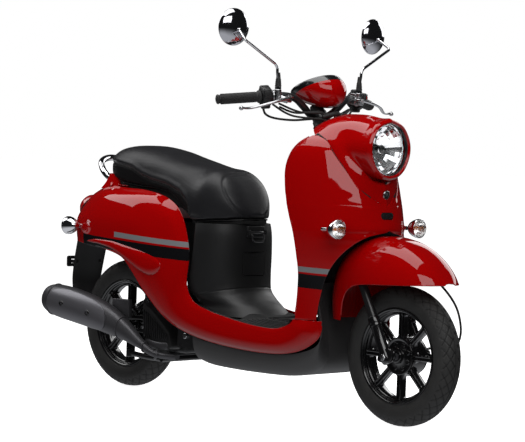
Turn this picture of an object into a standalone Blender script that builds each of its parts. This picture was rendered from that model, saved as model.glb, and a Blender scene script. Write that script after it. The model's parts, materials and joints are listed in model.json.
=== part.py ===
"""A small step-through moped scooter: separate panels, frame, steering, swing unit, wheels and controls.

Row frame, in metres: +X points forwards, +Y to the rider's left, +Z up. The origin lies on the ground,
under the middle of the scooter. Every named object is one closed solid.
"""

import math

import bmesh
import bpy
from mathutils import Matrix, Vector

# ---- driving dimensions ------------------------------------------------------------------------
WHEELBASE = 1.180
TYRE_RADIUS = 0.207  # 80/100-10
TYRE_HALF_WIDTH = 0.041
WHEEL_SIDES = 24
ROLLING_RADIUS = TYRE_RADIUS * math.cos(math.pi / WHEEL_SIDES)  # a facet lies on the ground
HALF_LENGTH = 0.8242
FRONT_AXLE_X = HALF_LENGTH - ROLLING_RADIUS
REAR_AXLE_X = FRONT_AXLE_X - WHEELBASE
AXLE_Z = ROLLING_RADIUS
CASTER = math.radians(26.5)
TRAIL = 0.075
FORK_HALF_SPACING = 0.075
FORK_TRAVEL = 0.055
PANEL = 0.0025  # wall of a moulded body panel
RIM_RADIUS = 0.1405
SWING_PIVOT = Vector((-0.205, 0.0, 0.178))  # the swing unit turns here
LENS_CENTRE = Vector((0.520, 0.0, 0.803))
LENS_RADIUS = 0.071

UP = Vector((-math.sin(CASTER), 0.0, math.cos(CASTER)))  # along the steering axis
AHEAD = Vector((math.cos(CASTER), 0.0, math.sin(CASTER)))  # square to it, forwards
STEER_FOOT = Vector((FRONT_AXLE_X + TRAIL, 0.0, 0.0))  # where the steering axis meets the ground
AXLE_ALONG = (Vector((FRONT_AXLE_X, 0, AXLE_Z)) - STEER_FOOT).dot(UP)
FORK_OFFSET = (Vector((FRONT_AXLE_X, 0, AXLE_Z)) - STEER_FOOT).dot(AHEAD)

RED, BLACK, STEEL = "red_paint", "black_plastic", "frame_steel"
CHROME, RUBBER, TYRE, VINYL = "chrome", "black_rubber", "tyre_rubber", "seat_vinyl"
ALLOY, GLASS, RED_LENS, ENGINE = "cast_alloy", "clear_lens", "red_lens", "engine_black"
GLOSS = "wheel_black"
PAINTS = {  # base colour, metallic, roughness
    RED: ((0.42, 0.003, 0.003), 0.0, 0.18),
    BLACK: ((0.020, 0.020, 0.021), 0.0, 0.55),
    STEEL: ((0.015, 0.015, 0.016), 0.3, 0.45),
    CHROME: ((0.80, 0.80, 0.82), 1.0, 0.08),
    RUBBER: ((0.018, 0.018, 0.018), 0.0, 0.75),
    TYRE: ((0.022, 0.022, 0.022), 0.0, 0.85),
    VINYL: ((0.030, 0.030, 0.033), 0.0, 0.50),
    ALLOY: ((0.62, 0.62, 0.63), 1.0, 0.32),
    GLASS: ((0.90, 0.92, 0.92), 0.0, 0.05),
    RED_LENS: ((0.55, 0.02, 0.02), 0.0, 0.08),
    ENGINE: ((0.030, 0.030, 0.032), 0.1, 0.45),
    GLOSS: ((0.012, 0.012, 0.012), 0.2, 0.22),
}

for startup_object in list(bpy.data.objects):
    bpy.data.objects.remove(startup_object)
PARTS = bpy.data.collections.new("moped_scooter")
TOOLS = bpy.data.collections.new("cutters")
for group in (PARTS, TOOLS):
    bpy.context.scene.collection.children.link(group)


# ---- helpers -----------------------------------------------------------------------------------
def material(name):
    found = bpy.data.materials.get(name)
    if found:
        return found
    made = bpy.data.materials.new(name)
    made.use_nodes = True
    shader = made.node_tree.nodes["Principled BSDF"]
    colour, metallic, roughness = PAINTS[name]
    shader.inputs["Base Color"].default_value = (*colour, 1.0)
    shader.inputs["Metallic"].default_value = metallic
    shader.inputs["Roughness"].default_value = roughness
    return made


def place(obj, paint):
    """Puts a finished object in the parts collection, or among the cutters when paint is None."""
    for group in list(obj.users_collection):
        group.objects.unlink(obj)
    if paint is None:
        TOOLS.objects.link(obj)
        obj.hide_render = True
        obj.display_type = "WIRE"
        return obj
    PARTS.objects.link(obj)
    if obj.type == "MESH":
        obj.data.materials.clear()
        obj.data.shade_smooth()
        obj.data.set_sharp_from_angle(angle=math.radians(35))
    obj.data.materials.append(material(paint))
    return obj


def mesh_object(name, vertices, faces, paint):
    mesh = bpy.data.meshes.new(name)
    mesh.from_pydata([tuple(v) for v in vertices], [], faces)
    mesh.update()
    return place(bpy.data.objects.new(name, mesh), paint)


def catmull(points, count):
    """count points on a smooth curve through the given ones, ends included."""
    points = [Vector(p) for p in points]
    last = len(points) - 1
    curve = []
    for i in range(count):
        place_on = i / (count - 1) * last
        k = min(int(place_on), last - 1)
        t = place_on - k
        a, b = points[max(k - 1, 0)], points[k]
        c, d = points[k + 1], points[min(k + 2, last)]
        curve.append(
            b
            + 0.5 * (c - a) * t
            + 0.5 * (2 * a - 5 * b + 4 * c - d) * t * t
            + 0.5 * (3 * b - a - 3 * c + d) * t**3
        )
    return curve


def smooth_rows(rows, count):
    """The rows of a loft, with more rows worked out between the given ones."""
    columns = [catmull(column, count) for column in zip(*rows)]
    return [list(row) for row in zip(*columns)]


def grid_faces(rows, columns, closed=False):
    faces = []
    across = columns if closed else columns - 1
    for i in range(rows - 1):
        for j in range(across):
            k = (j + 1) % columns
            faces.append((i * columns + j, i * columns + k, (i + 1) * columns + k, (i + 1) * columns + j))
    return faces


def shell(name, rows, paint, thickness=PANEL, side=-1, mirrored=False):
    """An open surface through rows of points, made a wall. side 1 or -1 picks which way the wall grows."""
    flat = [p for row in rows for p in row]
    obj = mesh_object(name, flat, grid_faces(len(rows), len(rows[0])), paint)
    if mirrored:
        mirror = obj.modifiers.new("both_sides", "MIRROR")
        mirror.use_axis = (False, True, False)
        mirror.merge_threshold = 0.0001
    wall = obj.modifiers.new("wall", "SOLIDIFY")
    wall.thickness = thickness
    wall.offset = side
    return obj


def flip_y(rows):
    return [[Vector((p[0], -p[1], p[2])) for p in row] for row in rows]


def solid_loft(name, rings, paint):
    """A closed body through closed rings of points, with flat ends."""
    count = len(rings[0])
    flat = [p for ring in rings for p in ring]
    faces = grid_faces(len(rings), count, closed=True)
    faces.append(tuple(range(count))[::-1])
    faces.append(tuple(range((len(rings) - 1) * count, len(rings) * count)))
    obj = mesh_object(name, flat, faces, paint)
    return face_out(obj)


def face_out(obj):
    bm = bmesh.new()
    bm.from_mesh(obj.data)
    bmesh.ops.remove_doubles(bm, verts=bm.verts, dist=1e-6)
    bmesh.ops.recalc_face_normals(bm, faces=bm.faces)
    if bm.calc_volume(signed=True) < 0:
        bmesh.ops.reverse_faces(bm, faces=bm.faces)
    bm.to_mesh(obj.data)
    bm.free()
    return obj


def turned(name, profile, paint, centre=(0, 0, 0), axis=(0, 0, 1), sides=20, ring=False, phase=0.0):
    """A profile of (radius, height) points turned about the axis. ring closes a profile that is off it."""
    points = [Vector((r, 0.0, h)) for r, h in profile]
    mesh = bpy.data.meshes.new(name)
    edges = [(i, i + 1) for i in range(len(points) - 1)]
    if ring:
        edges.append((len(points) - 1, 0))
    mesh.from_pydata([tuple(p) for p in points], edges, [])
    obj = bpy.data.objects.new(name, mesh)
    obj.matrix_world = aim(centre, axis) @ Matrix.Rotation(phase, 4, "Z")
    place(obj, paint)
    spin = obj.modifiers.new("turn", "SCREW")
    spin.axis = "Z"
    spin.steps = sides
    spin.render_steps = sides
    spin.use_merge_vertices = True
    spin.merge_threshold = 0.0001
    spin.use_normal_flip = False
    bpy.context.view_layer.update()
    bm = bmesh.new()
    bm.from_mesh(obj.evaluated_get(bpy.context.evaluated_depsgraph_get()).to_mesh())
    spin.use_normal_flip = bm.calc_volume(signed=True) < 0
    bm.free()
    return obj


def aim(centre, axis):
    """The matrix that puts +Z along the axis, at the centre, with +X kept level where it can be."""
    z = Vector(axis).normalized()
    x = Vector((0, 1, 0)).cross(z)
    if x.length < 1e-6:
        x = Vector((1, 0, 0))
    x.normalize()
    y = z.cross(x)
    turn = Matrix((x, y, z)).transposed().to_4x4()
    return Matrix.Translation(Vector(centre)) @ turn


def rod(name, start, end, radius, paint, sides=12):
    start, end = Vector(start), Vector(end)
    length = (end - start).length
    profile = [(0.0, length), (radius, length), (radius, 0.0), (0.0, 0.0)]
    return turned(name, profile, paint, start, end - start, sides)


def tube(name, points, radius, paint, sides=2, count=None):
    """A round bar along a smooth curve. It is made a mesh, so that it can be joined or cut."""
    path = catmull(points, count) if count else [Vector(p) for p in points]
    curve = bpy.data.curves.new(name, "CURVE")
    curve.dimensions = "3D"
    curve.bevel_depth = radius
    curve.bevel_resolution = sides
    curve.use_fill_caps = True
    spline = curve.splines.new("POLY")
    spline.points.add(len(path) - 1)
    for point, at in zip(spline.points, path):
        point.co = (*at, 1.0)
    guide = bpy.data.objects.new(name + "_curve", curve)
    TOOLS.objects.link(guide)
    bpy.context.view_layer.update()
    mesh = bpy.data.meshes.new_from_object(guide.evaluated_get(bpy.context.evaluated_depsgraph_get()))
    bpy.data.objects.remove(guide)
    obj = place(bpy.data.objects.new(name, mesh), paint)
    return face_out(obj)


def block(name, low, high, paint, round_edge=0.0, turn=None, about=None):
    """A box between two corners, with its edges bevelled, and turned about Y through a point if asked."""
    low, high = Vector(low), Vector(high)
    bm = bmesh.new()
    bmesh.ops.create_cube(bm, size=1.0)
    for v in bm.verts:
        v.co = (low + high) / 2 + Vector(a * b for a, b in zip(v.co, high - low))
    if turn:
        about = Vector(about if about else (low + high) / 2)
        bmesh.ops.rotate(bm, cent=about, matrix=Matrix.Rotation(turn, 3, "Y"), verts=bm.verts)
    mesh = bpy.data.meshes.new(name)
    bm.to_mesh(mesh)
    bm.free()
    obj = place(bpy.data.objects.new(name, mesh), paint)
    if round_edge:
        bevel = obj.modifiers.new("edges", "BEVEL")
        bevel.width = round_edge
        bevel.segments = 1
        bevel.limit_method = "ANGLE"
    return obj


def combine(obj, others, operation="UNION"):
    for other in others:
        modifier = obj.modifiers.new(operation.lower() + "_" + other.name, "BOOLEAN")
        modifier.operation = operation
        modifier.object = other
    return obj


def extrude_y(name, outline, y_low, y_high, paint):
    """A flat plate: an outline of (x, z) points, between two values of y."""
    rings = [[Vector((x, y, z)) for x, z in outline] for y in (y_low, y_high)]
    return solid_loft(name, rings, paint)


def fork_point(along, ahead=0.0, side=0.0):
    """A point measured up the steering axis, ahead of it and to its left."""
    return STEER_FOOT + UP * along + AHEAD * ahead + Vector((0, side, 0))


# ---- wheels ------------------------------------------------------------------------------------
HUB_BORE = 0.0072
SPOKES = 8


def wheel(prefix, centre_x):
    centre = (centre_x, 0.0, AXLE_Z)
    step = math.pi / WHEEL_SIDES
    half = TYRE_HALF_WIDTH
    tread = [(TYRE_RADIUS, -0.014), (TYRE_RADIUS - 0.010, -0.034), (TYRE_RADIUS - 0.034, -half)]
    flank = [(RIM_RADIUS + 0.0015, -0.0350), (RIM_RADIUS + 0.0005, -0.0296), (RIM_RADIUS - 0.0097, -0.0286)]
    outer = tread + flank
    profile = outer + [(r, -h) for r, h in reversed(outer)]
    turned(prefix + "_tyre", profile, TYRE, centre, (0, 1, 0), WHEEL_SIDES, ring=True, phase=step)
    barrel = [(0.1300, -0.0290), (RIM_RADIUS, -0.0300), (RIM_RADIUS, -0.0335), (0.1225, -0.0290)]
    ring_profile = barrel + [(r, -h) for r, h in reversed(barrel)]
    rim = turned(prefix + "_rim", ring_profile, GLOSS, centre, (0, 1, 0), WHEEL_SIDES, ring=True,
        phase=step)
    hub_profile = [(HUB_BORE, -0.040), (0.030, -0.040), (0.054, -0.022), (0.060, 0.036), (HUB_BORE, 0.036)]
    hub = turned(prefix + "_hub", hub_profile, None, centre, (0, 1, 0), 16, ring=True)
    spokes = []
    for i in range(SPOKES):
        arm = block(f"{prefix}_spoke_{i}", (-0.0065, -0.013, 0.046), (0.0065, 0.009, 0.1265), None)
        arm.matrix_world = Matrix.Translation(centre) @ Matrix.Rotation(2 * math.pi * i / SPOKES,
            4, "Y")
        spokes.append(arm)
    combine(rim, [hub] + spokes)


# ---- front fork and steering -------------------------------------------------------------------
YOKE_ALONG = 0.505
STEM_RADIUS = 0.0145


def fork():
    sliders = []
    for side in (-1, 1):
        foot = fork_point(AXLE_ALONG - 0.022, FORK_OFFSET, side * FORK_HALF_SPACING)
        cup = [(0.0, 0.050), (0.0140, 0.050), (0.0140, 0.145), (0.0180, 0.145), (0.0165, 0.0), (0.0, 0.0)]
        sliders.append(turned(f"slider_{side}", cup, None, foot, UP, 12))
    axle_y = FORK_HALF_SPACING + 0.020
    axle = rod("fork_sliders", (FRONT_AXLE_X, -axle_y, AXLE_Z), (FRONT_AXLE_X, axle_y, AXLE_Z), 0.0065,
        ENGINE, 10)
    brake_plate = turned(
        "front_brake_plate",
        [(0.0, 0.0), (0.055, 0.0), (0.055, 0.014), (0.0, 0.014)],
        None, (FRONT_AXLE_X, 0.0395, AXLE_Z), (0, 1, 0), 16,
    )
    combine(axle, sliders + [brake_plate])

    stem = rod("steering_stem", fork_point(YOKE_ALONG), fork_point(0.985), STEM_RADIUS, STEEL, 12)
    yoke = block("yoke", (-0.012, -0.0885, -0.012), (0.042, 0.0885, 0.012), None)
    yoke.matrix_world = aim(fork_point(YOKE_ALONG), UP)
    tubes = [
        rod(f"fork_tube_{s}", fork_point(AXLE_ALONG + 0.090, FORK_OFFSET, s * FORK_HALF_SPACING),
            fork_point(YOKE_ALONG, FORK_OFFSET, s * FORK_HALF_SPACING), 0.0132, None, 12)
        for s in (-1, 1)
    ]
    combine(stem, [yoke] + tubes)


FENDER_STATIONS = [  # ridge x, z; lower edge x, z; half width
    (0.371, 0.298, 0.440, 0.298, 0.084),
    (0.366, 0.360, 0.452, 0.350, 0.092),
    (0.378, 0.430, 0.475, 0.385, 0.101),
    (0.408, 0.488, 0.505, 0.402, 0.109),
    (0.455, 0.526, 0.540, 0.410, 0.114),
    (0.515, 0.546, 0.590, 0.414, 0.116),
    (0.580, 0.550, 0.640, 0.416, 0.113),
    (0.645, 0.538, 0.690, 0.418, 0.104),
    (0.700, 0.512, 0.735, 0.420, 0.088),
    (0.745, 0.477, 0.766, 0.421, 0.064),
    (0.787, 0.428, 0.789, 0.422, 0.022),
]


def fender_row(station, columns):
    """Half of an arch, from the ridge on the centre line out and down to the lower edge."""
    ridge_x, ridge_z, edge_x, edge_z, half_width = station
    row = []
    for i in range(columns):
        t = i / (columns - 1) * math.pi / 2
        out = math.sin(t) ** 0.72
        down = 1 - math.cos(t) ** 1.15
        row.append(Vector((ridge_x + (edge_x - ridge_x) * down, -half_width * out,
            ridge_z + (edge_z - ridge_z) * down)))
    return row


def front_fender():
    rows = smooth_rows([fender_row(s, 6) for s in FENDER_STATIONS], 13)
    fender = shell("front_fender", rows, RED, mirrored=True, side=1)
    hole = rod("fender_hole", fork_point(YOKE_ALONG - 0.02), fork_point(YOKE_ALONG + 0.16), 0.019, None, 12)
    combine(fender, [hole], "DIFFERENCE")


# ---- handlebar and its controls ----------------------------------------------------------------
BAR_RADIUS = 0.0110
GRIP_END = Vector((0.146, 0.335, 0.933))
GRIP_START = Vector((0.206, 0.212, 0.946))
BAR_AXIS = (GRIP_START - GRIP_END).normalized()
BRACKET_AT = GRIP_START + BAR_AXIS * 0.0446
MIRROR_BASE = Vector((0.243, 0.176, 0.9690))
MIRROR_ELBOW = Vector((0.244, 0.184, 1.040))
MIRROR_CORNER = Vector((0.218, 0.318, 1.103))
MIRROR_BALL = Vector((0.200, 0.303, 1.138))
MIRROR_CENTRE = Vector((0.186, 0.303, 1.147))
MIRROR_FACING = Vector((-0.97, -0.10, 0.05)).normalized()
LEVER_PIVOT = Vector((0.268, 0.150, 0.946))
LEVER_TIP = Vector((0.2435, 0.326, 0.910))


def on_side(point, side):
    """side is 1 for the rider's left and -1 for the right."""
    return Vector((point[0], point[1] * side, point[2]))


def handlebar():
    straight_end = GRIP_START + BAR_AXIS * 0.060
    bend = [straight_end, (0.248, 0.112, 0.946), (0.252, 0.076, 0.922), (0.248, 0.040, 0.898),
        (0.2460, 0.0, 0.893)]
    half = [GRIP_END + BAR_AXIS * 0.0085] + catmull(bend, 8)
    path = [on_side(p, -1) for p in half] + [on_side(p, 1) for p in reversed(half[:-1])]
    bar = tube("handlebar", path, BAR_RADIUS, STEEL, sides=2)
    clamp_top = fork_point(1.012)
    clamp = rod("bar_clamp", fork_point(0.9865), clamp_top, 0.024, None, 12)
    socket = rod("stem_socket", fork_point(0.95), fork_point(0.9860), STEM_RADIUS + 0.0010, None, 12)
    combine(bar, [clamp])
    combine(bar, [socket], "DIFFERENCE")


def grips():
    for side, name in ((-1, "throttle_grip"), (1, "grip_left")):
        end, start = on_side(GRIP_END, side), on_side(GRIP_START, side)
        length = (start - end).length
        bore = BAR_RADIUS + 0.0006
        profile = [(0.0, 0.0), (0.0135, 0.0), (0.0160, 0.010), (0.0160, length - 0.008),
            (0.0195, length - 0.005)]
        profile += [(0.0195, length), (bore, length), (bore, 0.007), (0.0, 0.007)]
        turned(name, profile, RUBBER, end, start - end, 12)


def pod_axes(side):
    """Where a switch box starts on the bar, and the ways inboard, rearwards and up from it."""
    inboard = on_side(BAR_AXIS, side)
    foot = on_side(GRIP_START, side) + inboard * 0.0010
    up = (Vector((0, 0, 1)) - inboard * inboard.z).normalized()
    rear = up.cross(inboard) * side
    return foot, inboard, rear, up


def pod_block(name, side, low, high):
    """A box measured inboard, rearwards and up from the start of a switch box."""
    foot, inboard, rear, up = pod_axes(side)
    box = block(name, low, high, None)
    turn = Matrix((inboard, rear, up)).transposed().to_4x4()
    box.matrix_world = Matrix.Translation(foot) @ turn
    if side < 0:
        box.data.flip_normals()
    return box


BUTTON_IN, BUTTON_UP, POD_DEPTH = 0.0140, 0.0080, 0.0320


def switch_boxes():
    for side, word in ((-1, "right"), (1, "left")):
        foot, inboard, rear, up = pod_axes(side)
        profile = [(0.0128, 0.0), (0.0265, 0.0), (0.0265, 0.0285), (0.0128, 0.0285)]
        box = turned("switch_box_" + word, profile, BLACK, foot, inboard, 12, ring=True)
        pod = pod_block("switch_pod_" + word, side, (0.003, 0.015, -0.004), (0.0255, POD_DEPTH, 0.0200))
        face = foot + inboard * BUTTON_IN + rear * POD_DEPTH + up * BUTTON_UP
        well = rod("button_well_" + word, face - rear * 0.0055, face + rear * 0.004, 0.0066, None, 12)
        combine(box, [pod])
        combine(box, [well], "DIFFERENCE")


def buttons():
    """The starter button on the right pod and the horn button on the left one, each in its well."""
    for side, name in ((-1, "starter_button"), (1, "horn_button")):
        foot, inboard, rear, up = pod_axes(side)
        face = foot + inboard * BUTTON_IN + rear * POD_DEPTH + up * BUTTON_UP
        rod(name, face - rear * 0.0025, face + rear * 0.0030, 0.0060, BLACK, 12)


def lever_brackets():
    for side, word in ((-1, "right"), (1, "left")):
        axis = on_side(BAR_AXIS, side)
        foot = on_side(BRACKET_AT, side) - axis * 0.010
        profile = [(0.0124, 0.0), (0.0180, 0.0), (0.0180, 0.024), (0.0124, 0.024)]
        ring = turned("lever_bracket_" + word, profile, ALLOY, foot, axis, 12, ring=True)
        pivot = on_side(LEVER_PIVOT, side)
        arm = block("bracket_arm_" + word, (-0.0175, -0.012, -0.0085), (0.0140, 0.012, 0.0003), None)
        arm.matrix_world = Matrix.Translation(on_side(LEVER_PIVOT + Vector((-0.010, 0.006, -0.0055)), side))
        boss = rod("bracket_boss_" + word, on_side(MIRROR_BASE, side) + Vector((0, 0, -0.0095)),
                   on_side(MIRROR_BASE, side), 0.0105, None, 10)
        peg = rod("bracket_peg_" + word, pivot + Vector((0, 0, -0.012)), pivot + Vector((0, 0, 0.0055)),
            0.0040, None, 8)
        combine(ring, [arm, boss, peg])


def levers():
    for side, word in ((-1, "right"), (1, "left")):
        pivot, tip = on_side(LEVER_PIVOT, side), on_side(LEVER_TIP, side)
        eye_profile = [(0.0046, -0.0035), (0.0110, -0.0035), (0.0110, 0.0045), (0.0046, 0.0045)]
        eye = turned("brake_lever_" + word, eye_profile, ALLOY, pivot, (0, 0, 1), 10, ring=True)
        path = [pivot + on_side((0.0088, 0.001, 0.0005), side),
            pivot + on_side((0.014, 0.030, -0.004), side)]
        path += [pivot + on_side((0.012, 0.080, -0.016), side),
            tip + on_side((0.004, -0.030, 0.001), side), tip]
        blade = tube("lever_blade_" + word, path, 0.0048, None, sides=0, count=7)
        knob = turned("lever_knob_" + word, [(0.0, 0.007), (0.0072, 0.003), (0.0072, -0.003),
            (0.0, -0.007)],
                      None, tip, (0, 0, 1), 8)
        combine(eye, [blade, knob])


def mirrors():
    for side, word in ((-1, "right"), (1, "left")):
        base, elbow, corner, ball = (on_side(p, side) for p in (MIRROR_BASE, MIRROR_ELBOW, MIRROR_CORNER,
            MIRROR_BALL))
        up = (elbow - base).normalized()
        facing = on_side(MIRROR_FACING, side)
        path = [base + Vector((0, 0, 0.02)), elbow - up * 0.006, elbow + (corner - elbow) * 0.07]
        path += [corner - (corner - elbow) * 0.06, corner, corner + (ball - corner) * 0.25,
            ball - (ball - corner) * 0.02]
        stem = tube("mirror_stem_" + word, path, 0.0042, CHROME, sides=1)
        sleeve = turned("mirror_sleeve_" + word, [(0.0, 0.050), (0.0098, 0.044), (0.0098, 0.0005),
            (0.0, 0.0005)],
                        None, base, (0, 0, 1), 10)
        joint_ball = turned("mirror_ball_" + word, [(0.0, 0.0068), (0.0062, 0.0030), (0.0062, -0.0030),
            (0.0, -0.0068)],
                            None, ball, facing, 10)
        combine(stem, [sleeve, joint_ball])
        centre = on_side(MIRROR_CENTRE, side)
        dish = [(0.0, 0.0015), (0.0545, 0.0015), (0.0555, -0.003), (0.0420, -0.0165), (0.0, -0.0265)]
        head = turned("mirror_head_" + word, [(r, h + 0.012) for r, h in dish], CHROME, centre, facing, 16)
        socket = turned("mirror_socket_" + word, [(0.0, 0.0110), (0.0084, 0.0056), (0.0094, 0.0),
            (0.0094, -0.030), (0.0, -0.030)],
                        None, ball, facing, 10)
        combine(head, [socket], "DIFFERENCE")


METER_CENTRE = Vector((0.226, 0.0, 0.984))
METER_FACING = Vector((-0.42, 0.0, 0.907)).normalized()


def meter():
    profile = [(0.0, 0.004), (0.078, 0.003), (0.084, -0.006), (0.076, -0.028), (0.050, -0.052),
        (0.0, -0.062)]
    pod = turned("meter_housing", profile, RED, METER_CENTRE, METER_FACING, 20)
    neck = fork_point(1.0125)
    foot = rod("meter_foot", neck, neck + UP * 0.022, 0.020, None, 12)
    combine(pod, [foot])


# ---- front panels ------------------------------------------------------------------------------
SHIELD_SECTIONS = [  # height, middle of the half ellipse, its depth and half width, angle of the rear edge
    (0.2960, 0.300, 0.215, 0.172, 80.0),
    (0.360, 0.306, 0.222, 0.175, 79.0),
    (0.430, 0.312, 0.226, 0.180, 79.0),
    (0.500, 0.312, 0.234, 0.190, 80.0),
    (0.560, 0.306, 0.243, 0.198, 81.0),
    (0.620, 0.297, 0.240, 0.203, 83.0),
    (0.680, 0.290, 0.230, 0.203, 84.0),
    (0.740, 0.285, 0.218, 0.198, 84.0),
    (0.790, 0.283, 0.205, 0.187, 80.0),
    (0.820, 0.284, 0.188, 0.168, 74.0),
    (0.838, 0.285, 0.165, 0.146, 66.0),
]
ARCH_TOP = 0.565  # the top of the wheel opening
COWL_FOOT = 0.633  # the lowest point of the centre panel
COWL_EDGE = [(0.633, 0.0), (0.640, 0.026), (0.655, 0.047), (0.684, 0.079), (0.740, 0.110), (0.790, 0.128),
    (0.8385, 0.125)]
ARCH_EDGE = [(0.2960, 0.150), (0.360, 0.151), (0.430, 0.148), (0.480, 0.137), (0.520, 0.112),
    (0.548, 0.072), (0.565, 0.0)]


def between(table, at):
    """Straight interpolation in a table whose first column rises."""
    for low, high in zip(table, table[1:]):
        if at <= high[0]:
            share = max(0.0, (at - low[0]) / (high[0] - low[0]))
            return [a + (b - a) * share for a, b in zip(low, high)]
    return list(table[-1])


def shield_point(height, y):
    """A point of the front surface, at that height and distance from the centre line."""
    _, middle, depth, half_width, _ = between(SHIELD_SECTIONS, height)
    share = min(1.0, abs(y) / half_width)
    return Vector((middle + depth * math.sqrt(1 - share * share), y, height))


def shield_row(height, columns):
    _, middle, depth, half_width, rear_angle = between(SHIELD_SECTIONS, height)
    inner = 0.0
    if height < ARCH_TOP:
        inner = between(ARCH_EDGE, height)[1]
    if height > COWL_FOOT:
        inner = between(COWL_EDGE, height)[1] + 0.0006
    start = math.asin(min(1.0, inner / half_width))
    row = []
    for i in range(columns):
        angle = start + (math.radians(rear_angle) - start) * i / (columns - 1)
        row.append(Vector((middle + depth * math.cos(angle), -half_width * math.sin(angle), height)))
    return row


def leg_shield():
    heights = [0.2960, 0.360, 0.430, 0.480, 0.520, 0.548, 0.565, 0.598, 0.6325, 0.640, 0.655]
    heights += [0.684, 0.740, 0.790, 0.820, 0.8375]
    shield = shell("leg_shield", [shield_row(z, 6) for z in heights], RED, mirrored=True)
    slot = block("horn_slot", (0.48, -0.017, 0.598), (0.60, 0.017, 0.618), None)
    combine(shield, [slot], "DIFFERENCE")


NACELLE_RADIUS = 0.0915
COWL_KEYS = [  # angle from the top, edge of the panel, two points between, in order outwards to the lamp
    (0.0, (0.292, 0.0, 0.884), (0.350, 0.0, 0.902), (0.440, 0.0, 0.903)),
    (38.0, (0.304, 0.075, 0.862), (0.350, 0.070, 0.880), (0.430, 0.062, 0.882)),
    (72.0, (0.352, 0.1235, 0.8375), (0.385, 0.110, 0.840), (0.440, 0.092, 0.836)),
    (100.0, (0.405, 0.127, 0.795), (0.432, 0.112, 0.797), (0.462, 0.096, 0.796)),
    (132.0, (0.4665, 0.105, 0.730), (0.484, 0.090, 0.736), (0.494, 0.072, 0.744)),
    (158.0, (0.5010, 0.073, 0.678), (0.510, 0.055, 0.690), (0.513, 0.040, 0.708)),
    (180.0, (0.5325, 0.0, 0.634), (0.528, 0.0, 0.670), (0.523, 0.0, 0.700)),
]


def nacelle_ring(angle, radius, x):
    return Vector((x, -radius * math.sin(angle), LENS_CENTRE.z + radius * math.cos(angle)))


def cowl_row(key):
    """One strip of the centre panel, from its edge in to the lamp's lip."""
    degrees, edge, first, second = key
    angle = math.radians(degrees)
    edge, first, second = (Vector((p[0], -p[1], p[2])) for p in (edge, first, second))
    lip = [(NACELLE_RADIUS, 0.500), (NACELLE_RADIUS, 0.532), (0.0840, 0.543), (0.0775, 0.538)]
    return [edge, first, second] + [nacelle_ring(angle, r, x) for r, x in lip]


def front_cowl():
    rows = smooth_rows([cowl_row(k) for k in COWL_KEYS], 10)
    for row in (rows[0], rows[-1]):
        for p in row:
            p.y = 0.0
    shell("front_cowl", rows, RED, mirrored=True, side=1, thickness=0.002)


def headlight():
    bowl = [(0.0745, 0.0), (0.0700, -0.014), (0.0400, -0.042), (0.0, -0.049)]
    inner = [(0.0, -0.046), (0.0380, -0.038), (0.0670, -0.011), (0.0710, 0.0)]
    turned("headlight_reflector", inner + bowl, CHROME, LENS_CENTRE, (1, 0, 0), 16)
    dome = [(0.0, 0.0135), (0.045, 0.0090), (LENS_RADIUS, 0.0008), (0.0745, 0.0006)]
    outside = [(0.0, 0.0165), (0.048, 0.0115), (0.0745, 0.0045)]
    turned("headlight_lens", outside + dome[::-1], GLASS, LENS_CENTRE, (1, 0, 0), 16)


INNER_SECTIONS = [  # height, x on the centre line, x and y of the outer edge
    (0.2990, 0.288, 0.322, 0.150),
    (0.360, 0.280, 0.330, 0.152),
    (0.440, 0.276, 0.334, 0.158),
    (0.520, 0.280, 0.334, 0.168),
    (0.600, 0.276, 0.324, 0.178),
    (0.680, 0.266, 0.312, 0.182),
    (0.740, 0.252, 0.308, 0.177),
    (0.785, 0.240, 0.312, 0.160),
    (0.812, 0.228, 0.316, 0.128),
]


def inner_shield():
    rows = []
    for height, centre_x, edge_x, edge_y in INNER_SECTIONS:
        row = []
        for i in range(5):
            share = i / 4
            bend = share**2.6
            row.append(Vector((centre_x + (edge_x - centre_x) * bend, -edge_y * share, height)))
        rows.append(row)
    panel = shell("inner_shield", rows, BLACK, mirrored=True, side=1)
    key_hole = rod("key_hole", KEY_AT + Vector((-0.03, 0, 0)), KEY_AT + Vector((0.06, 0, 0)), 0.0125,
        None, 12)
    pockets = [block("pocket_left", (0.20, 0.040, 0.600), (0.345, 0.140, 0.690), None)]
    combine(panel, [key_hole] + pockets, "DIFFERENCE")


KEY_AT = Vector((0.263, -0.075, 0.700))


def ignition_key():
    barrel = turned("ignition_key", [(0.0, 0.003), (0.0112, 0.003), (0.0112, -0.030), (0.0, -0.030)],
                    ALLOY, KEY_AT, (-1, 0, 0), 12)
    blade = block("key_blade", (-0.0012, -0.004, 0.0), (0.0012, 0.004, 0.016), None)
    bow = block("key_bow", (-0.002, -0.011, 0.013), (0.002, 0.011, 0.032), None)
    for piece in (blade, bow):
        piece.matrix_world = aim(KEY_AT, (-1, 0, 0))
    combine(barrel, [blade, bow])


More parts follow.
